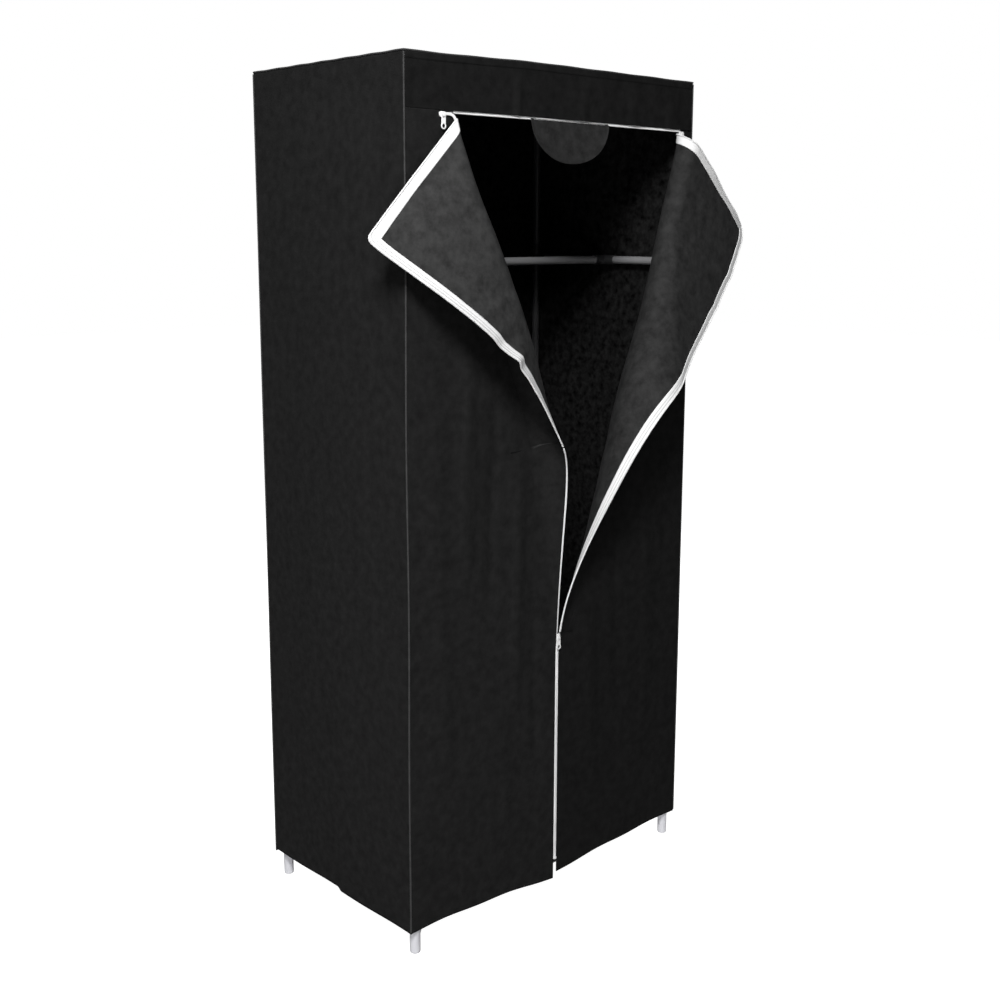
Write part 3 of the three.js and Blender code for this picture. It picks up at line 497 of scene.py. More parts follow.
def smooth_values(stations, values, at):
    """A smooth curve through values at rising stations, with no overshoot: each piece is a cubic whose end
    slopes are a harmonic mean of the slopes beside them, and zero where those disagree."""
    h = np.diff(stations)
    rise = np.diff(values) / h
    slope = np.zeros(len(values))
    same = rise[:-1] * rise[1:] > 0
    w1, w2 = 2 * h[1:] + h[:-1], h[1:] + 2 * h[:-1]
    safe = np.where(rise == 0, 1.0, rise)
    slope[1:-1] = np.where(same, (w1 + w2) / (w1 / safe[:-1] + w2 / safe[1:]), 0)
    for end, h0, h1, r0, r1 in ((0, h[0], h[1], rise[0], rise[1]), (-1, h[-1], h[-2], rise[-1], rise[-2])):
        tip = ((2 * h0 + h1) * r0 - h0 * r1) / (h0 + h1)
        if np.sign(tip) != np.sign(r0):
            tip = 0.0
        elif np.sign(r0) != np.sign(r1) and abs(tip) > 3 * abs(r0):
            tip = 3 * r0
        slope[end] = tip
    x = np.clip(at, stations[0], stations[-1])
    k = np.clip(np.searchsorted(stations, x, side="right") - 1, 0, len(h) - 1)
    t = (x - stations[k]) / h[k]
    return (values[k] * (1 + 2 * t) * (1 - t) ** 2 + h[k] * slope[k] * t * (1 - t) ** 2
            + values[k + 1] * t ** 2 * (3 - 2 * t) + h[k] * slope[k + 1] * t ** 2 * (t - 1))


def fold_line(fold):
    """The fold line of a flap in the flat front: where it starts, its direction down it, the direction from it
    into the flap, and its length to the middle slider's height. Distances across are negative outwards."""
    start = np.array([-fold["seam_end"], FLAP_TOP])
    along = np.array([0, fold["edge_height"]]) - start
    along /= np.linalg.norm(along)
    return start, along, np.array([-along[1], along[0]]), (np.array([0, SLIDER_AT]) - start) @ along


def fold_values(fold, s, *keys):
    """These values of a fold at a distance along its line."""
    share = np.clip(s / fold_line(fold)[3], 0, 1)
    return [smooth_values(FOLD_STATIONS, fold[key], share) for key in keys]


def folded(fold, a, z, lift=0.0):
    """Where a point of the flat front lies with its flap folded out. Past the start of the bend the cloth
    turns on an arc of the local radius, through the local angle, then goes on with a slight curl.
    lift moves the point off the cloth along its outer normal."""
    start, along, away, _ = fold_line(fold)
    da, dz = a - start[0], z - start[1]
    s = da * along[0] + dz * along[1]
    begin, radius, turn, curl = fold_values(fold, s, "start", "radius", "turn", "curl")
    curl = np.where(np.abs(curl) < 0.02, 0.02, curl)
    d = da * away[0] + dz * away[1] - begin
    bent = np.maximum(d, 0)
    arc = np.minimum(bent / radius, turn)
    end = turn + curl * np.maximum(bent - radius * turn, 0)
    reach = np.where(d < 0, d, radius * np.sin(arc) + (np.sin(end) - np.sin(turn)) / curl)
    out = radius * (1 - np.cos(arc)) + (np.cos(turn) - np.cos(end)) / curl
    tilt = np.where(bent < radius * turn, arc, end)
    reach = reach + begin - lift * np.sin(tilt)
    across = start[0] + along[0] * s + away[0] * reach
    up = start[1] + along[1] * s + away[1] * reach
    y = -(half_depth(up) - CLOTH_THICKNESS / 2) - (out + lift * np.cos(tilt))
    return np.stack([-fold["side"] * across, y, up], -1) + MIDDLE


def width_at(fold, s, inset):
    """How far a line square to the fold runs before it meets the flap's edge, which lies inset inside the
    tape's outer edge and is rounded at the free corner."""
    start, along, away, _ = fold_line(fold)
    root = start + np.asarray(s)[..., None] * along
    top, edge = FLAP_TOP - inset, -CENTRE_GAP - inset
    width = np.minimum((top - root[..., 1]) / away[1], (edge - root[..., 0]) / away[0])
    round_ = max(CORNER_RADIUS - inset, 0.0012)
    to_centre = np.array([edge - round_, top - round_]) - root
    off = to_centre[..., 0] * away[1] - to_centre[..., 1] * away[0]
    arc = to_centre @ away + np.sqrt(np.maximum(round_ ** 2 - off ** 2, 0))
    point = root + arc[..., None] * away
    on_arc = (np.abs(off) < round_) & (point[..., 0] >= edge - round_) & (point[..., 1] >= top - round_)
    return np.where(on_arc, arc, width)


def flap_end(fold):
    """Where along the fold line the flap runs out at the free edge."""
    start, along, away, _ = fold_line(fold)
    edge_end = np.array([-CENTRE_GAP - TAPE_SHOW, fold["edge_height"]]) - start
    return edge_end @ along + (edge_end @ away - fold["end_width"]) * away[0] / along[0]


def flap_stations(fold, count):
    """Distances along the fold line at which the flap is cut, closer together round its free corner."""
    start, along, _, _ = fold_line(fold)
    corner = (np.array([-CENTRE_GAP, FLAP_TOP]) - start) @ along
    before, after = corner - CORNER_RADIUS * along[0], corner - CORNER_RADIUS * along[1]
    at_corner = 14
    return np.concatenate([np.linspace(0.006, before, count // 4, endpoint=False),
                           np.linspace(before, after, at_corner, endpoint=False),
                           np.linspace(after, flap_end(fold), count - count // 4 - at_corner)])


def flap_creases(fold, s, w, width):
    """Soft buckles of a folded flap, in metres off the cloth: each is a bell along the fold line, leant across
    the flap and tapered by a sine. Ruffles, bells too, grow in towards the taped edge."""
    share = w / np.maximum(width, 1e-6)
    out = np.zeros(np.broadcast(s, w).shape)
    for centre, size, depth in fold["buckles"]:
        out = out + depth * bell(s + 0.20 * w, centre, size) * np.sin(np.pi * np.clip(share, 0, 1)) ** 0.8
    ruffles = sum(depth * bell(s, centre, size) for centre, size, depth in fold["ruffles"])
    return out * smooth_step(width, 0.01, 0.06) + ruffles * smooth_step(share, fold["ruffle_from"], 1.0)


def flap_surface(fold, inner, outer, columns, rows, lift):
    """A folded flap or a band of it, on lines square to the fold line. inner and outer are how far its sides
    lie inside the tape's outer edge; with no inner side it starts where the bend starts."""
    s = flap_stations(fold, rows)
    start, along, away, _ = fold_line(fold)
    far = width_at(fold, s, outer)
    near = fold_values(fold, s, "start")[0] if inner is None else np.maximum(width_at(fold, s, inner), 0.001)
    near = np.minimum(near, far - 0.002)
    w = near[:, None] + (far - near)[:, None] * np.linspace(0, 1, columns)[None, :]
    flat = start + s[:, None, None] * along + w[..., None] * away
    creases = flap_creases(fold, s[:, None], w, width_at(fold, s, 0)[:, None])
    return folded(fold, flat[..., 0], flat[..., 1], creases + lift), flat


# ---------------------------------------------------------------- the cover's cloth
def left_hem(y):
    """The left wall's hem height: it steps down by a few millimetres half way along, and waves a little."""
    return 0.0545 - 0.0065 * smooth_step(-y, -0.006, 0.006) + 0.0012 * np.sin(y * 31.0 + 0.6)


def wall_swell(u, v, across, z, strength):
    """How far a hanging wall stands out: it billows by a few millimetres, in a cosine across and a sine up. On
    that lie broad and narrow upright folds and a slack ripple above the hem, each a sine across, which end at
    the wall's sides."""
    share = np.clip(1 - fall(z), 0, 1)
    broad = np.sin(across * 17.0 + 1.3 * np.sin(share * 3.1) + 0.4) * np.sin(np.pi * share) ** 1.5
    narrow = 0.4 * np.sin(across * 41.0 - share * 2.2) * np.sin(np.pi * share) ** 2
    hem = 0.6 * np.sin(across * 29.0 + 0.8) * np.exp(-share / 0.10)
    bow = np.cos(np.pi * u / 2)
    return 0.003 * bow ** 2 * np.sin(np.pi * v) + bow ** 0.7 * strength * (broad + narrow + hem)


def side_wall(side):
    """A side wall: it spans the cover's full depth, leans out towards the hem, and swells slightly."""
    u, v = np.meshgrid(np.linspace(-1, 1, 121), np.linspace(0, 1, 301))
    low = left_hem(u * DEPTH_HEM / 2)
    z = low + (WALL_TOP - low) * v
    y = u * half_depth(z)
    x = side * (half_width(z) - CLOTH_THICKNESS / 2 + wall_swell(u, v, y, z, 0.0009))
    return with_top_rise(np.stack([x, y, z], -1) + MIDDLE)


def back_wall():
    """The back wall, between the side walls."""
    u, v = np.meshgrid(np.linspace(-1, 1, 161), np.linspace(0, 1, 301))
    low = HEM + 0.002 * np.sin(u * 4.2)
    z = low + (WALL_TOP - low) * v
    x = u * (half_width(z) - INSET)
    y = half_depth(z) - CLOTH_THICKNESS / 2 + wall_swell(u, v, x, z, 0.0011)
    return with_top_rise(np.stack([x, y, z], -1) + MIDDLE)


def roof():
    """The top cloth: it lies over the top bars and sags a few millimetres between them."""
    u, v = np.meshgrid(np.linspace(-1, 1, 181), np.linspace(-1, 1, 121))
    bow = np.cos(np.pi * u / 2) * np.cos(np.pi * v / 2)
    ripple = 0.00072 * bow * np.sin(u * 9 + v * 3) * np.cos(v * 5 - u * 2)
    z = HEIGHT - CLOTH_THICKNESS / 2 - 0.005 * bow ** 2 + ripple - 0.0006
    x, y = u * WIDTH_TOP / 2, v * DEPTH_TOP / 2
    return np.stack([x, y, z + top_rise(x, y)], -1) + MIDDLE


def header_front():
    """The band across the top of the front: a folded seam stands proud along its top edge, and slack cloth
    below it creases in a few places, each crease a narrow bell across that fades upwards."""
    u, v = np.meshgrid(np.linspace(-1, 1, 361), np.linspace(0, 1, 81))
    z = HEADER_BOTTOM + (WALL_TOP - HEADER_BOTTOM) * v
    x = u * (half_width(z) - INSET)
    below = HEIGHT - z
    out = 0.0014 * (smooth_step(-below, -0.0135, -0.0115) - smooth_step(-below, -0.004, -0.001))
    slack = smooth_step(below, 0.012, 0.042)
    for centre, width, depth, lean in ((-0.115, 0.010, 0.0028, 0.05), (0.005, 0.018, -0.0022, -0.10),
                                       (0.055, 0.013, 0.0024, 0.08), (0.195, 0.016, 0.0026, -0.12),
                                       (-0.240, 0.022, 0.0012, 0.1), (0.300, 0.015, 0.0014, 0.05)):
        out = out + depth * slack * bell(x, centre + lean * (z - HEADER_BOTTOM), width)
    out = np.maximum(out + 0.0006 * slack * np.sin(x * 63 + 1.0), 0)
    raised = z + (HEADER_EDGE_SHARE + (1 - HEADER_EDGE_SHARE) * v) * top_rise(x, -DEPTH_TOP / 2)
    return np.stack([x, -(half_depth(z) - CLOTH_THICKNESS / 2) - out, raised], -1) + MIDDLE


def front_rows(fold, count):
    """The rows of a front half: where each meets the flap, the free edge or the zip, and its height at the
    outer side. The inner ends run down the start of the bend, out along the flap's last line to the free edge,
    and down the free edge and the zip; the rows fan out so that none crosses another."""
    start, along, away, _ = fold_line(fold)
    end = flap_end(fold)
    s = np.linspace(0, end, count // 3)
    bend = start + s[:, None] * along + fold_values(fold, s, "start")[0][:, None] * away
    above = np.stack([np.full(4, -fold["seam_end"]),
                      np.linspace(HEADER_BOTTOM - SEAM_GAP, FLAP_TOP, 4, endpoint=False)], 1)
    last = np.linspace(0, 1, 61)[1:, None]
    root = start + end * along
    tip = root + (-TAPE_SHOW - root[0]) / away[0] * away
    free = np.linspace(tip[1], SLIDER_AT, max(int((tip[1] - SLIDER_AT) / 0.005), 3))[1:]
    down = np.concatenate([free, np.linspace(SLIDER_AT, HEM, count // 3)[1:]])
    inner = np.concatenate([above, bend, bend[-1] + (tip - bend[-1]) * last,
                            np.stack([np.full(len(down), -TAPE_SHOW), down], 1)])
    reach = (bend[-1, 0] + WIDTH_HEM / 2) / (tip[0] + WIDTH_HEM / 2)
    row_gap, least_fall, least_height = 0.004, 0.02, 0.25
    low = (bend[-1, 1] - row_gap - tip[1] * reach) / (1 - reach)
    low = max(min(low, bend[-1, 1] - least_fall), HEM + least_height)
    outer = np.concatenate([above[:, 1], bend[:, 1], bend[-1, 1] + (low - bend[-1, 1]) * last[:, 0],
                            HEM + (low - HEM) * (down - HEM) / (tip[1] - HEM)])
    return inner[::-1], outer[::-1]


def front_folds(fold, a, z):
    """Slack upright folds of a front half, in metres proud of the cloth: bells across that lean with height,
    each fading in and out along its length, and none where the cloth meets the frame, the zip or the header."""
    out = np.zeros(np.broadcast(a, z).shape)
    for centre, width, depth, lean, low, high in fold["folds"]:
        reach = smooth_step(z, low, low + 0.18) * (1 - smooth_step(z, high - 0.22, high))
        out = out + depth * reach * bell(a, centre + lean * (z - (low + high) / 2), width)
    return out * smooth_step(a, -0.372, -0.345) * smooth_step(-a, 0.012, 0.04)


def front_half(fold, rows=420, columns=150):
    """A front half up to the start of its flap's bend, with its free edge and the closed zip's edge. Its hem
    drops by the square of the distance inwards, most beside the zip, and waves a little."""
    inner, high = front_rows(fold, rows)
    outer = -(half_width(high) - INSET)
    share = np.linspace(0, 1, columns)
    share = (share * (1 + 0.35 * (1 - share)))[None, :]
    a = outer[:, None] + (inner[:, :1] - outer[:, None]) * share
    z = high[:, None] + (inner[:, 1:] - high[:, None]) * share
    drop = (HEM - fold["hem_near_zip"]) * np.clip(1 + a / (WIDTH_TOP / 2), 0, 1) ** 2
    drop = drop * np.clip((SLIDER_AT - z) / (SLIDER_AT - HEM), 0, 1)
    wave = 0.0012 * np.sin(a * 37) * np.exp(-(z - HEM) / 0.05)
    slack = front_folds(fold, a, z) * (1 - smooth_step(share, 0.78, 1.0))
    points, flat = folded(fold, a, z - drop + wave, slack), np.stack([a, z], -1)
    if fold["side"] < 0:
        return points, flat
    return points[:, ::-1], flat[:, ::-1]


def make_cover():
    """The cover's walls, top, header, front halves and flaps, each a sheet in its own right."""
    # The header's outer face is the darker cloth: painted shade.
    for name, node, points, cloth, lining, inner_first, size, bars in (
            # The walls and the top are lined with the darkened inner face: painted shade.
            ("left_wall", "left", side_wall(-1), CLOTH, PAINTED_SHADE_WALL_LINING, True, (0.44, 1.55), ["top_bar_left"]),
            ("right_wall", "right", side_wall(1), CLOTH, PAINTED_SHADE_WALL_LINING, False, (0.44, 1.55), ["top_bar_right"]),
            ("back_wall", "back", back_wall(), CLOTH, PAINTED_SHADE_WALL_LINING, True, (0.756, 1.55), ["top_bar_back"]),
            ("roof", "top", roof(), CLOTH, PAINTED_SHADE_WALL_LINING, False, (0.738, 0.436), ["top_bar_front", "top_bar_back"]),
            ("header", "header", header_front(), PAINTED_SHADE_CLOTH, LINING, False, (0.738, 0.09), ["top_bar_front"])):
        piece = cloth_piece(name + "_cloth", points, cloth, inner=lining, inner_first=inner_first)
        on_body(piece, "root", "black_cloth", "cover_" + node)
    # The right front half and flap have the darker cloth outside: painted shade.
    for name, fold, cloth, lining in (("left", LEFT_FOLD, CLOTH, LINING),
                                      # The right flap's inner face is the darker lining: painted shade.
                                      ("right", RIGHT_FOLD, PAINTED_SHADE_CLOTH, PAINTED_SHADE_LINING)):
        points, flat = front_half(fold)
        piece = cloth_piece(f"front_{name}_cloth", points, cloth, flat=flat, inner=lining)
        on_body(piece, "root", "black_cloth", f"front_panel_{name}")
        points, flat = flap_surface(fold, None, TAPE_SHOW, 90, 200, 0.0)
        piece = cloth_piece(f"flap_{name}_cloth", points, cloth, flat=flat, inner=lining,
                            inner_first=fold["side"] < 0)
        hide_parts(f"flap_{name}")
        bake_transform(piece)
        size = flat.reshape(-1, 2).max(0) - flat.reshape(-1, 2).min(0)


def seam_cord(name, path):
    """A piped seam: a fine round welt along a path, drawn in slightly at each stitch, in a lighter cloth that
    paints a highlight along it.
    """
    at = np.arange(0, path_length(path)[-1], 0.0016)
    shape = tube_along(points_along(path, at), 0.0015 * (1 + 0.08 * np.cos(at / 0.0048 * 2 * np.pi)), 8)
    solid_piece(name, shape, PAINTED_HIGHLIGHT_SEAM, "root", "black_cloth")


def make_seams():
    """The piped seams: up the four corners, and round the top."""
    proud = 0.0002
    z = np.linspace(HEM + 0.002, HEIGHT - 0.003, 400)
    for name, sx, sy in CORNERS:
        wander = 0.0008 * np.sin(z * 9 + sx) * np.sin(np.pi * (1 - fall(z)))
        path = np.stack([sx * (half_width(z) + proud + wander), sy * (half_depth(z) + proud - wander), z], 1)
        seam_cord(f"corner_seam_{name}", with_top_rise(path + MIDDLE))
    t = np.linspace(0, 1, 200)
    for name, (x0, y0), (x1, y1) in (("front", (-1, -1), (1, -1)), ("back", (-1, 1), (1, 1)),
                                     ("left", (-1, -1), (-1, 1)), ("right", (1, -1), (1, 1))):
        x = (x0 + (x1 - x0) * t) * (WIDTH_TOP / 2 + proud)
        y = (y0 + (y1 - y0) * t) * (DEPTH_TOP / 2 + proud)
        path = np.stack([x, y, HEIGHT - 0.0008 + 0.0003 * np.sin(t * 40) + top_rise(x, y)], 1)
        seam_cord(f"top_seam_{name}", path + MIDDLE)


# ---------------------------------------------------------------- zip tapes, coils, sliders, pulls and the tab
ZIP_LEFT, ZIP_RIGHT, ZIP_BOTTOM, SLIDER_TOP = -0.289, 0.335, 0.066, 0.5445
TAPE_THICKNESS, TAPE_LIFT, COIL_LIFT = 0.0009, -0.00105, -0.0022
COIL_RADIUS, TOOTH_PITCH = 0.00135, 0.0016

# The quarter of an ellipse that the tape turns through at the left flap's top
HOOK_CENTRE, HOOK_REACH, HOOK_DROP = (-0.2750, 1.4925), 0.0130, 0.0127


def tape_piece(name, points, body, node):
    """A zip tape from a grid whose rows run along it. Its flat pattern is the distance along it, and the
    distance across it measured from its outer edge."""
    along = path_length(points[:, -1])[:, None] + np.zeros(points.shape[1])[None, :]
    across = np.cumsum(np.linalg.norm(np.diff(points[:, ::-1], axis=1), axis=2), axis=1)
    across = np.concatenate([np.zeros((len(points), 1)), across], 1)[:, ::-1]
    on_body(cloth_piece(name, points, TAPE, TAPE_THICKNESS, np.stack([along, across], -1)), body, "zip_tape", node)


def coil_piece(name, path, body):
    """A zip's coil along a path: a fine tube whose radius swells once for each tooth."""
    length = path_length(path)[-1]
    at = np.linspace(0, length, int(length / TOOTH_PITCH * 4))
    swell = COIL_RADIUS * (0.78 + 0.22 * np.cos(at / TOOTH_PITCH * 2 * np.pi))
    solid_piece(name, tube_along(points_along(path, at), swell, 6), COIL, body, "zip_tape")


def header_tape():
    """The tape behind the header's lower edge, from the left slider to the right one."""
    x, v = np.meshgrid(np.linspace(ZIP_LEFT, ZIP_RIGHT, 160), np.linspace(1, 0, 6))
    z = HEADER_BOTTOM - TAPE_SHOW + TAPE_WIDTH * v + header_edge_rise(x)
    y = -half_depth(z) + CLOTH_THICKNESS + 0.0006 + 0.0004 * np.sin(x * 40)
    return (np.stack([x, y, z], -1) + MIDDLE).transpose(1, 0, 2)


def tape_hook():
    """The strip of tape between the left header slider and the flap, and its flat pattern. Its middle line is
    level at first, then turns down a quarter of an ellipse; it has half its width to each side, and stands off
    more towards the flap."""
    level = np.stack([np.linspace(ZIP_LEFT, HOOK_CENTRE[0], 12), np.full(12, HOOK_CENTRE[1] + HOOK_DROP)], 1)
    turn = np.linspace(np.pi / 2, -0.1, 25)[1:]
    bend = np.stack([HOOK_CENTRE[0] + HOOK_REACH * np.cos(turn), HOOK_CENTRE[1] + HOOK_DROP * np.sin(turn)], 1)
    line = np.concatenate([level, bend])
    ahead = np.gradient(line, axis=0)
    ahead /= np.linalg.norm(ahead, axis=1, keepdims=True)
    share = np.linspace(0, 1, len(line))[:, None]
    aside = (0.0042 + 0.0014 * share) * np.stack([ahead[:, 1], -ahead[:, 0]], 1)
    flat = line[:, None] + np.linspace(-0.5, 0.5, 5)[None, :, None] * aside[:, None]
    y = -half_depth(flat[..., 1]) - 0.0014 - 0.0036 * share
    points = np.stack([flat[..., 0], y, flat[..., 1]], -1) + MIDDLE
    return points, np.stack(np.meshgrid(path_length(line), np.linspace(0, TAPE_SHOW, 5), indexing="ij"), -1)


def make_tapes():
    """The open zip tapes with their coils, on both flaps, on the left free edge and behind the header, and the
    strip of tape by the left header slider.
    """
    for name, fold in (("left", LEFT_FOLD), ("right", RIGHT_FOLD)):
        tape_piece(f"flap_{name}_tape", flap_surface(fold, TAPE_WIDTH, 0.0, 10, 260, TAPE_LIFT)[0], f"flap_{name}",
                   f"flap_tape_{name}")
        edge = flap_surface(fold, 0.0022, 0.0002, 2, 900, COIL_LIFT)[0].mean(1)
        coil_piece(f"flap_{name}_coil", edge, f"flap_{name}")
    start, along, _, _ = fold_line(LEFT_FOLD)
    top = (start + flap_end(LEFT_FOLD) * along)[1]
    z, share = np.meshgrid(np.linspace(SLIDER_TOP, top - 0.002, 90), np.linspace(0, 1, 8), indexing="ij")
    a = -TAPE_SHOW - (TAPE_WIDTH - TAPE_SHOW) * (1 - share) + (TAPE_SHOW - CENTRE_GAP * 0.5) * share
    tape_piece("free_edge_tape", folded(LEFT_FOLD, a, z, TAPE_LIFT), "root", "edge_tape_left")
    edge = folded(LEFT_FOLD, np.full(500, -CENTRE_GAP - 0.0006), np.linspace(SLIDER_TOP, top, 500), COIL_LIFT)
    coil_piece("free_edge_coil", edge, "root")
    points, flat = tape_hook()
    on_body(cloth_piece("left_tape_hook", points, TAPE, TAPE_THICKNESS, flat), "root", "zip_tape")
    tape_piece("header_zip_tape", header_tape(), "root", "header_tape")
    x = np.linspace(ZIP_LEFT, ZIP_RIGHT, 700)
    y = np.full(700, -half_depth(HEADER_BOTTOM) + CLOTH_THICKNESS - 0.0002)
    line = np.stack([x, y, HEADER_BOTTOM - TAPE_SHOW + 0.0012 + header_edge_rise(x)], 1) + MIDDLE
    coil_piece("header_coil", line, "root")


def closed_zip():
    """The closed zip below the middle slider: both tapes behind the cloth, and the meshed coils between them."""
    z, u = np.meshgrid(np.linspace(ZIP_BOTTOM, SLIDER_TOP - 0.0005, 120), np.linspace(-1, 1, 24), indexing="ij")
    x = u * TAPE_WIDTH
    y = -half_depth(z) + CLOTH_THICKNESS + 0.0005 - 0.0010 * bell(x, 0, 0.003)
    flat = np.stack([z, np.abs(x) * 0.9 + 0.0015], -1)
    tape = cloth_piece("closed_zip_tape", np.stack([x, y, z], -1) + MIDDLE, TAPE, TAPE_THICKNESS, flat)
    on_body(tape, "root", "zip_tape", "closed_zip")
    coils = []
    at = np.linspace(ZIP_BOTTOM, SLIDER_TOP - 0.004, 1200)
    for side in (-1, 1):
        wave = np.cos(at / (2 * TOOTH_PITCH) * 2 * np.pi + (side > 0) * np.pi)
        y = -half_depth(at) + CLOTH_THICKNESS - 0.0012 + 0.0002 * wave
        line = np.stack([side * (0.0016 + 0.0006 * wave), y, at], 1) + MIDDLE
        coils.append(tube_along(line, np.full(len(at), 0.00115), 6))
    solid_piece("closed_zip_coils", joined(coils), COIL, "root", "zip_tape")
    outline = [(-0.0032, 0), (0.0032, 0), (0.0036, 0.0022), (0.0032, 0.0046), (-0.0032, 0.0046), (-0.0036, 0.0022)]
    at = MIDDLE + (0, 0.0002 - half_depth(ZIP_BOTTOM), ZIP_BOTTOM - 0.0005)
    solid_piece("zip_bottom_stop", outline_plate(outline, 0.0024, at, (1, 0, 0), (0, 0, 1)), ENAMEL, "root",
                "white_metal", smooth=False)


def header_tab():
    """The half-round tab: its lower edge is half an ellipse, it hangs a little off the front, and its sewn rim
    stands proud of its middle."""
    centre, half, drop = 0.019, 0.101, 0.075
    u, v = np.meshgrid(np.linspace(-1, 1, 121), np.linspace(0, 1, 61))
    drop = drop * np.maximum(1 - np.abs(u) ** 2.15, 0.0005) ** 0.5
    rim = 1 - smooth_step(np.minimum((1 - v) * drop, (1 - np.abs(u)) * half), 0.006, 0.0075)
    y = -half_depth(HEADER_BOTTOM) + 0.0006 - 0.0035 * v ** 1.6 - 0.0004 * rim + 0.0012 * np.sin(u * 5 + 1) * v
    return np.stack([centre + u * half, y, HEADER_BOTTOM - 0.0008 - v * drop], -1) + MIDDLE


def holed_plate(outer, inner, centre, thickness, at):
    """A flat plate round one hole. outer and inner give its two outlines as distances from the hole's centre at
    each angle, and the grid runs once round and through the thickness."""
    angle = np.arange(72) / 72 * 2 * np.pi
    up, across = np.sin(angle), np.cos(angle)
    far, near = outer(across, up), inner(across, up)
    rows = []
    for reach, depth in ((far - 0.0003, -1), (near, -1), (near, 1), (far - 0.0003, 1), (far, 0.55), (far, -0.55)):
        y = np.full(72, depth * thickness / 2)
        rows.append(np.stack([centre[0] + reach * across, y, centre[1] + reach * up], 1) + at)
    return np.concatenate(rows), [grid_faces(6, 72, wrap_rows=True, wrap_columns=True)]


def pull_plate(node):
    """A slider's pull, in the place of the solid of that name: a ring with a large eye, and a shank whose slot
    takes the slider's crown."""
    vertices = bpy.data.objects[node].data.vertices
    corners = np.empty(len(vertices) * 3, np.float32)
    vertices.foreach_get("co", corners)
    low, high = corners.reshape(-1, 3).min(0), corners.reshape(-1, 3).max(0)
    top = np.array([(low[0] + high[0]) / 2, (low[1] + high[1]) / 2, high[2]])
    length, ring, eye, half = high[2] - low[2], 0.0054, 0.0034, 0.0045

    def box(across, up, wide, tall):
        """How far a box's outline lies from its centre at each angle."""
        return np.minimum(wide / np.maximum(np.abs(across), 1e-6), tall / np.maximum(np.abs(up), 1e-6))

    def ring_side(across, up):
        """The ring's outline, with the shank's two sides running up from it."""
        return np.where(up > 0, np.maximum(ring, box(across, up, half, 0.0125)), ring)

    lower = holed_plate(ring_side, lambda across, up: np.full(72, eye), (0, ring - length), 0.0014, top)
    upper = holed_plate(lambda across, up: box(across, up, half, np.where(up > 0, 0.0039, 0.0060)),
                        lambda across, up: box(across, up, 0.0026, 0.0023), (0, -0.0039), 0.00139, top)
    return joined([lower, upper])


def give_finish(node, material):
    """Gives a solid that came with the frame this material, in every slot."""
    solid = bpy.data.objects[node]
    if not solid.material_slots:
        solid.data.materials.append(material)
    for slot in solid.material_slots:
        slot.material = material


def make_zip_furniture():
    """The closed zip, the tab, the sliders and the pulls."""
    closed_zip()
    tab = cloth_piece("header_tab_cloth", header_tab(), TAB_CLOTH, CLOTH_THICKNESS)
    on_body(tab, "header_tab", "black_cloth", "header_tab")
    for name in ("header_left", "header_right", "middle"):
        give_finish("slider_" + name, ENAMEL)
        pull = "pull_" + name
        solid_piece(pull + "_plate", pull_plate(pull), ENAMEL, pull, "white_metal", pull, smooth=False)


# ---------------------------------------------------------------- the frame
UPRIGHT_X, UPRIGHT_Y = MIDDLE[:2]
TUBE_RADIUS, TUBE_WALL, BORE, SOCKET = 0.008, 0.0008, 0.0084, 0.0099
BOTTOM_BAR, TOP_BAR, RAIL, JOINT = 0.058, 1.5885, 1.256, 0.650
REACH, DEPTH, TEE_REACH, TEE_WALL, SEAT, SWAGE = 0.038, 0.024, 0.032, 0.003, 0.0003, 0.030


def pipe_profile(length, inner, outer, ease=0.0002):
    """The wall of a cut pipe, with its four edges just broken."""
    near = [(inner, ease * 4), (inner, ease), (inner + ease, 0),
            (outer - ease, 0), (outer, ease), (outer, ease * 4)]
    return near[1:] + [(r, length - z) for r, z in near[::-1]] + near[:1]


def socket_profile(first, length, bottom=REACH - DEPTH):
    """A round socket: solid from a first distance up to the bottom of its bore, with a rolled mouth."""
    return [(0, first), (SOCKET - 0.0004, first), (SOCKET, first + 0.0004), (SOCKET, first + 0.002),
            (SOCKET, length - 0.004), (SOCKET + 0.0004, length - 0.0032), (SOCKET + 0.0005, length - 0.0016),
            (SOCKET + 0.0002, length - 0.0004), (SOCKET - 0.0003, length), (BORE + 0.0003, length),
            (BORE, length - 0.0004), (BORE, length - 0.002), (BORE, bottom + 0.001), (BORE, bottom), (0, bottom)]


def pipe(name, length, start, direction, material=TUBE):
    """A plain tube of the frame."""
    shape = turned(pipe_profile(length, TUBE_RADIUS - TUBE_WALL, TUBE_RADIUS), start + MIDDLE, direction)
    solid_piece(name + "_tube", shape, material, "root", "frame_tube", name)


def swaged_pipe(name, start):
    """A length of upright whose lower end is drawn down to slide into the tube below it."""
    inner, outer, length = TUBE_RADIUS - TUBE_WALL, TUBE_RADIUS, RAIL - SEAT / 2 - JOINT
    neck = inner - 0.0004
    throat = neck - TUBE_WALL
    profile = [(throat, -SWAGE), (neck, -SWAGE), (neck, 0.001 - SWAGE), (neck, -SEAT), (neck, SEAT),
               (outer - 0.0003, SEAT), (outer, SEAT + 0.0003), (outer, SEAT + 0.0012), (outer, length - 0.001),
               (outer, length - 0.0002), (outer - 0.0002, length), (inner, length), (inner, length - 0.001),
               (inner, TUBE_WALL * 2 + SEAT), (throat, TUBE_WALL + SEAT)]
    solid_piece(name + "_tube", turned(profile, start + MIDDLE, (0, 0, 1)), TUBE, "root", "frame_tube", name)


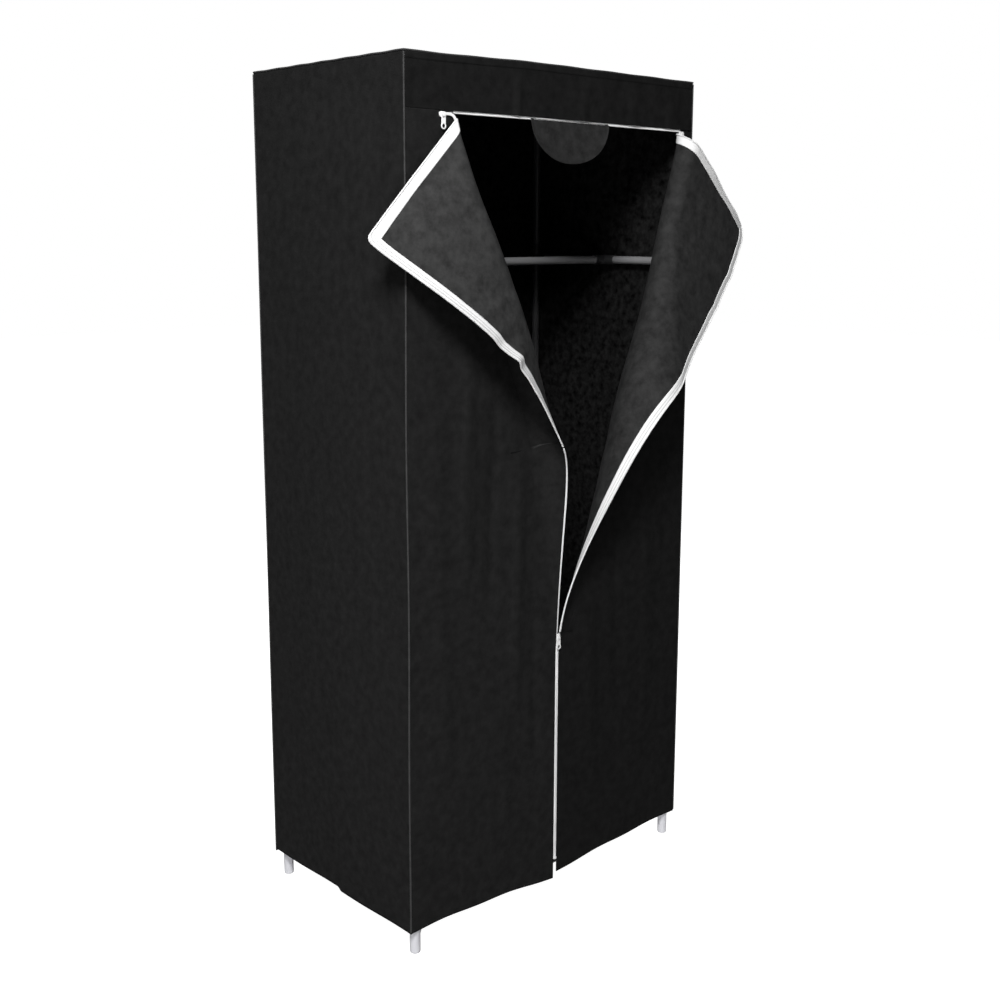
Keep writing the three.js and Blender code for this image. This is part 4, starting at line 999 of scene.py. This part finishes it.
def gusset(at, direction):
    """The web under an arm of a foot: a plate whose free edge is a hollow quarter curve from the peg to the arm."""
    turn = np.linspace(0, np.pi / 2, 14)
    reach, thickness = 0.020, 0.003
    low = BOTTOM_BAR - reach
    curve = np.stack([SOCKET + reach * (1 - np.cos(turn)) ** 0.9,
                      (low - SOCKET / 2) * np.sin(turn) ** 0.9 - low], 1)
    outline = np.concatenate([[(SOCKET / 2, -low)], curve, [(SOCKET + reach, 0), (SOCKET / 2, 0)]])
    return outline_plate(outline, thickness, at + (0, 0, BOTTOM_BAR), (*direction, 0), (0, 0, 1))


def make_tee(name, at, sleeve, arm):
    """A sleeve on a through tube with one socket at right angles, whose root fits over the sleeve."""
    at = at + MIDDLE
    wall = turned(pipe_profile(2 * TEE_REACH, BORE, SOCKET, 0.0004), at - np.array(sleeve) * TEE_REACH, sleeve)
    socket = turned(socket_profile(0.0, TEE_REACH, BORE + TEE_WALL), at, arm, saddle=(sleeve, (BORE + SOCKET) / 2))
    solid_piece(name + "_moulding", joined([wall, socket]), DARK, "root", "black_plastic", name)


def make_frame():
    """The tube frame with its plastic joints."""
    foot_top = BOTTOM_BAR + REACH
    peg = [(0, 0), (SOCKET - 0.0028, 0), (SOCKET - 0.0012, 0.0003), (SOCKET - 0.0003, 0.0012), (SOCKET, 0.0028),
           (SOCKET, 0.006)]
    low, high = foot_top - DEPTH + SEAT, TOP_BAR - REACH + DEPTH - SEAT
    for name, sx, sy in CORNERS:
        x, y = sx * UPRIGHT_X, sy * UPRIGHT_Y
        arms = ((-sx, 0, 0), (0, -sy, 0))
        at = np.array([x, y, 0]) + MIDDLE
        parts = [turned(peg + socket_profile(0.0, foot_top, foot_top - DEPTH)[4:], at, (0, 0, 1))]
        for arm in arms:
            parts.append(turned(socket_profile(0.0, REACH), at + (0, 0, BOTTOM_BAR), arm))
            parts.append(gusset(at, arm[:2]))
        solid_piece(f"foot_{name}", joined(parts), PALE, "root", "pale_plastic", f"foot_connector_{name}")
        at = at + (0, 0, TOP_BAR)
        parts = [turned(socket_profile(-SOCKET, REACH), at, (0, 0, -1))]
        parts += [turned(socket_profile(0.0, REACH), at, arm) for arm in arms]
        solid_piece(f"top_corner_{name}", joined(parts), PALE, "root", "pale_plastic", f"top_connector_{name}")
        make_tee(f"rail_tee_{name}", (x, y, RAIL), (0, 0, 1), (0, -sy, 0))
        pipe(f"upright_lower_{name}", JOINT - low, (x, y, low), (0, 0, 1))
        swaged_pipe(f"upright_middle_{name}", (x, y, JOINT))
        pipe(f"upright_upper_{name}", high - RAIL - SEAT / 2, (x, y, RAIL + SEAT / 2), (0, 0, 1))
    half_x, half_y = UPRIGHT_X - (REACH - DEPTH + SEAT), UPRIGHT_Y - (REACH - DEPTH + SEAT)
    for level, z in (("bottom", BOTTOM_BAR), ("top", TOP_BAR)):
        for name, side in (("front", -1), ("back", 1)):
            pipe(f"{level}_bar_{name}", 2 * half_x, (-half_x, side * UPRIGHT_Y, z), (1, 0, 0))
        for name, side in SIDES:
            pipe(f"{level}_bar_{name}", 2 * half_y, (side * UPRIGHT_X, -half_y, z), (0, 1, 0))
    half_x, half_y = UPRIGHT_X - (BORE + TEE_WALL + SEAT), UPRIGHT_Y - (BORE + TEE_WALL + SEAT)
    # The rail and its side bars are the mid grey rail tube: painted light.
    for name, side in SIDES:
        pipe(f"rail_side_bar_{name}", 2 * half_y, (side * UPRIGHT_X, -half_y, RAIL), (0, 1, 0), PAINTED_LIGHT_RAIL_TUBE)
        make_tee(f"rail_end_{name}", (side * UPRIGHT_X, 0, RAIL), (0, 1, 0), (-side, 0, 0))
    pipe("hanging_rail", 2 * half_x, (-half_x, 0, RAIL), (1, 0, 0), PAINTED_LIGHT_RAIL_TUBE)


# ---------------------------------------------------------------- floor and surround
def plain_to_the_eye(tree, glow):
    """White where it is looked at, from any side, and no stronger than the glow as a source of light."""
    seen = add_node(tree, "ShaderNodeLightPath").outputs["Is Camera Ray"]
    mix = add_node(tree, "ShaderNodeMix", {"Factor": seen, "A": glow, "B": 1.0}, data_type="FLOAT")
    return mix.outputs["Result"]


def towards_back(tree, coordinate, ahead, low, high, dim, bright):
    """A strength that rises from dim to bright as the distance along a direction goes from low to high: the
    surround and the floor are brightest behind the wardrobe."""
    point = add_node(tree, "ShaderNodeTexCoord").outputs[coordinate]
    reach = add_node(tree, "ShaderNodeVectorMath", {0: point, 1: ahead}, operation="DOT_PRODUCT")
    return map_range(tree, reach.outputs["Value"], low, high, dim, bright)


def make_studio():
    """A plain white floor, a white surround and soft light from the front left."""
    mesh = bpy.data.meshes.new("studio_floor")
    reach = 14.0
    corners = [(x * reach, y * reach, 0) for x, y in ((-1, -1), (1, -1), (1, 1), (-1, 1))]
    mesh.from_pydata(corners, [], [(0, 1, 2, 3)])
    floor = bpy.data.objects.new("studio_floor", mesh)
    bpy.context.scene.collection.objects.link(floor)
    material, tree, shader = new_material("white_floor", (0.4, 0.4, 0.4), 0.95, specular=0.05)
    shader.inputs["Emission Color"].default_value = (1, 1, 1, 1)
    glow = towards_back(tree, "Object", (math.sin(AZIMUTH), math.cos(AZIMUTH), 0), -0.1, 0.9, 0.04, 0.36)
    tree.links.new(plain_to_the_eye(tree, glow), shader.inputs["Emission Strength"])
    floor.data.materials.append(material)
    world = bpy.data.worlds.new("white_surround")
    world.use_nodes = True
    tree = world.node_tree
    backdrop = tree.nodes["Background"].inputs
    backdrop["Color"].default_value = (1, 1, 1, 1)
    glow = towards_back(tree, "Generated", tuple(AHEAD), 0.66, 0.84, 0.06, 0.66)
    tree.links.new(plain_to_the_eye(tree, glow), backdrop["Strength"])
    bpy.context.scene.world = world
    middle = MIDDLE + (0, 0, 0.9)
    area_light("high_light", middle + (-2.1, -1.85, 2.3), middle + (-0.2, -0.1, -0.1), 0.8, 150.0)
    area_light("low_light", middle + (-2.0, -1.5, -0.75), middle + (-0.2, -0.1, -0.6), 0.8, 22.0)
    area_light("back_light", middle + (2.3, 1.7, 1.0), middle, 1.2, 70.0)
    bpy.context.scene.view_settings.view_transform = "Standard"


make_cover()
make_tapes()
make_zip_furniture()
make_frame()
make_seams()
make_studio()
photo_camera()
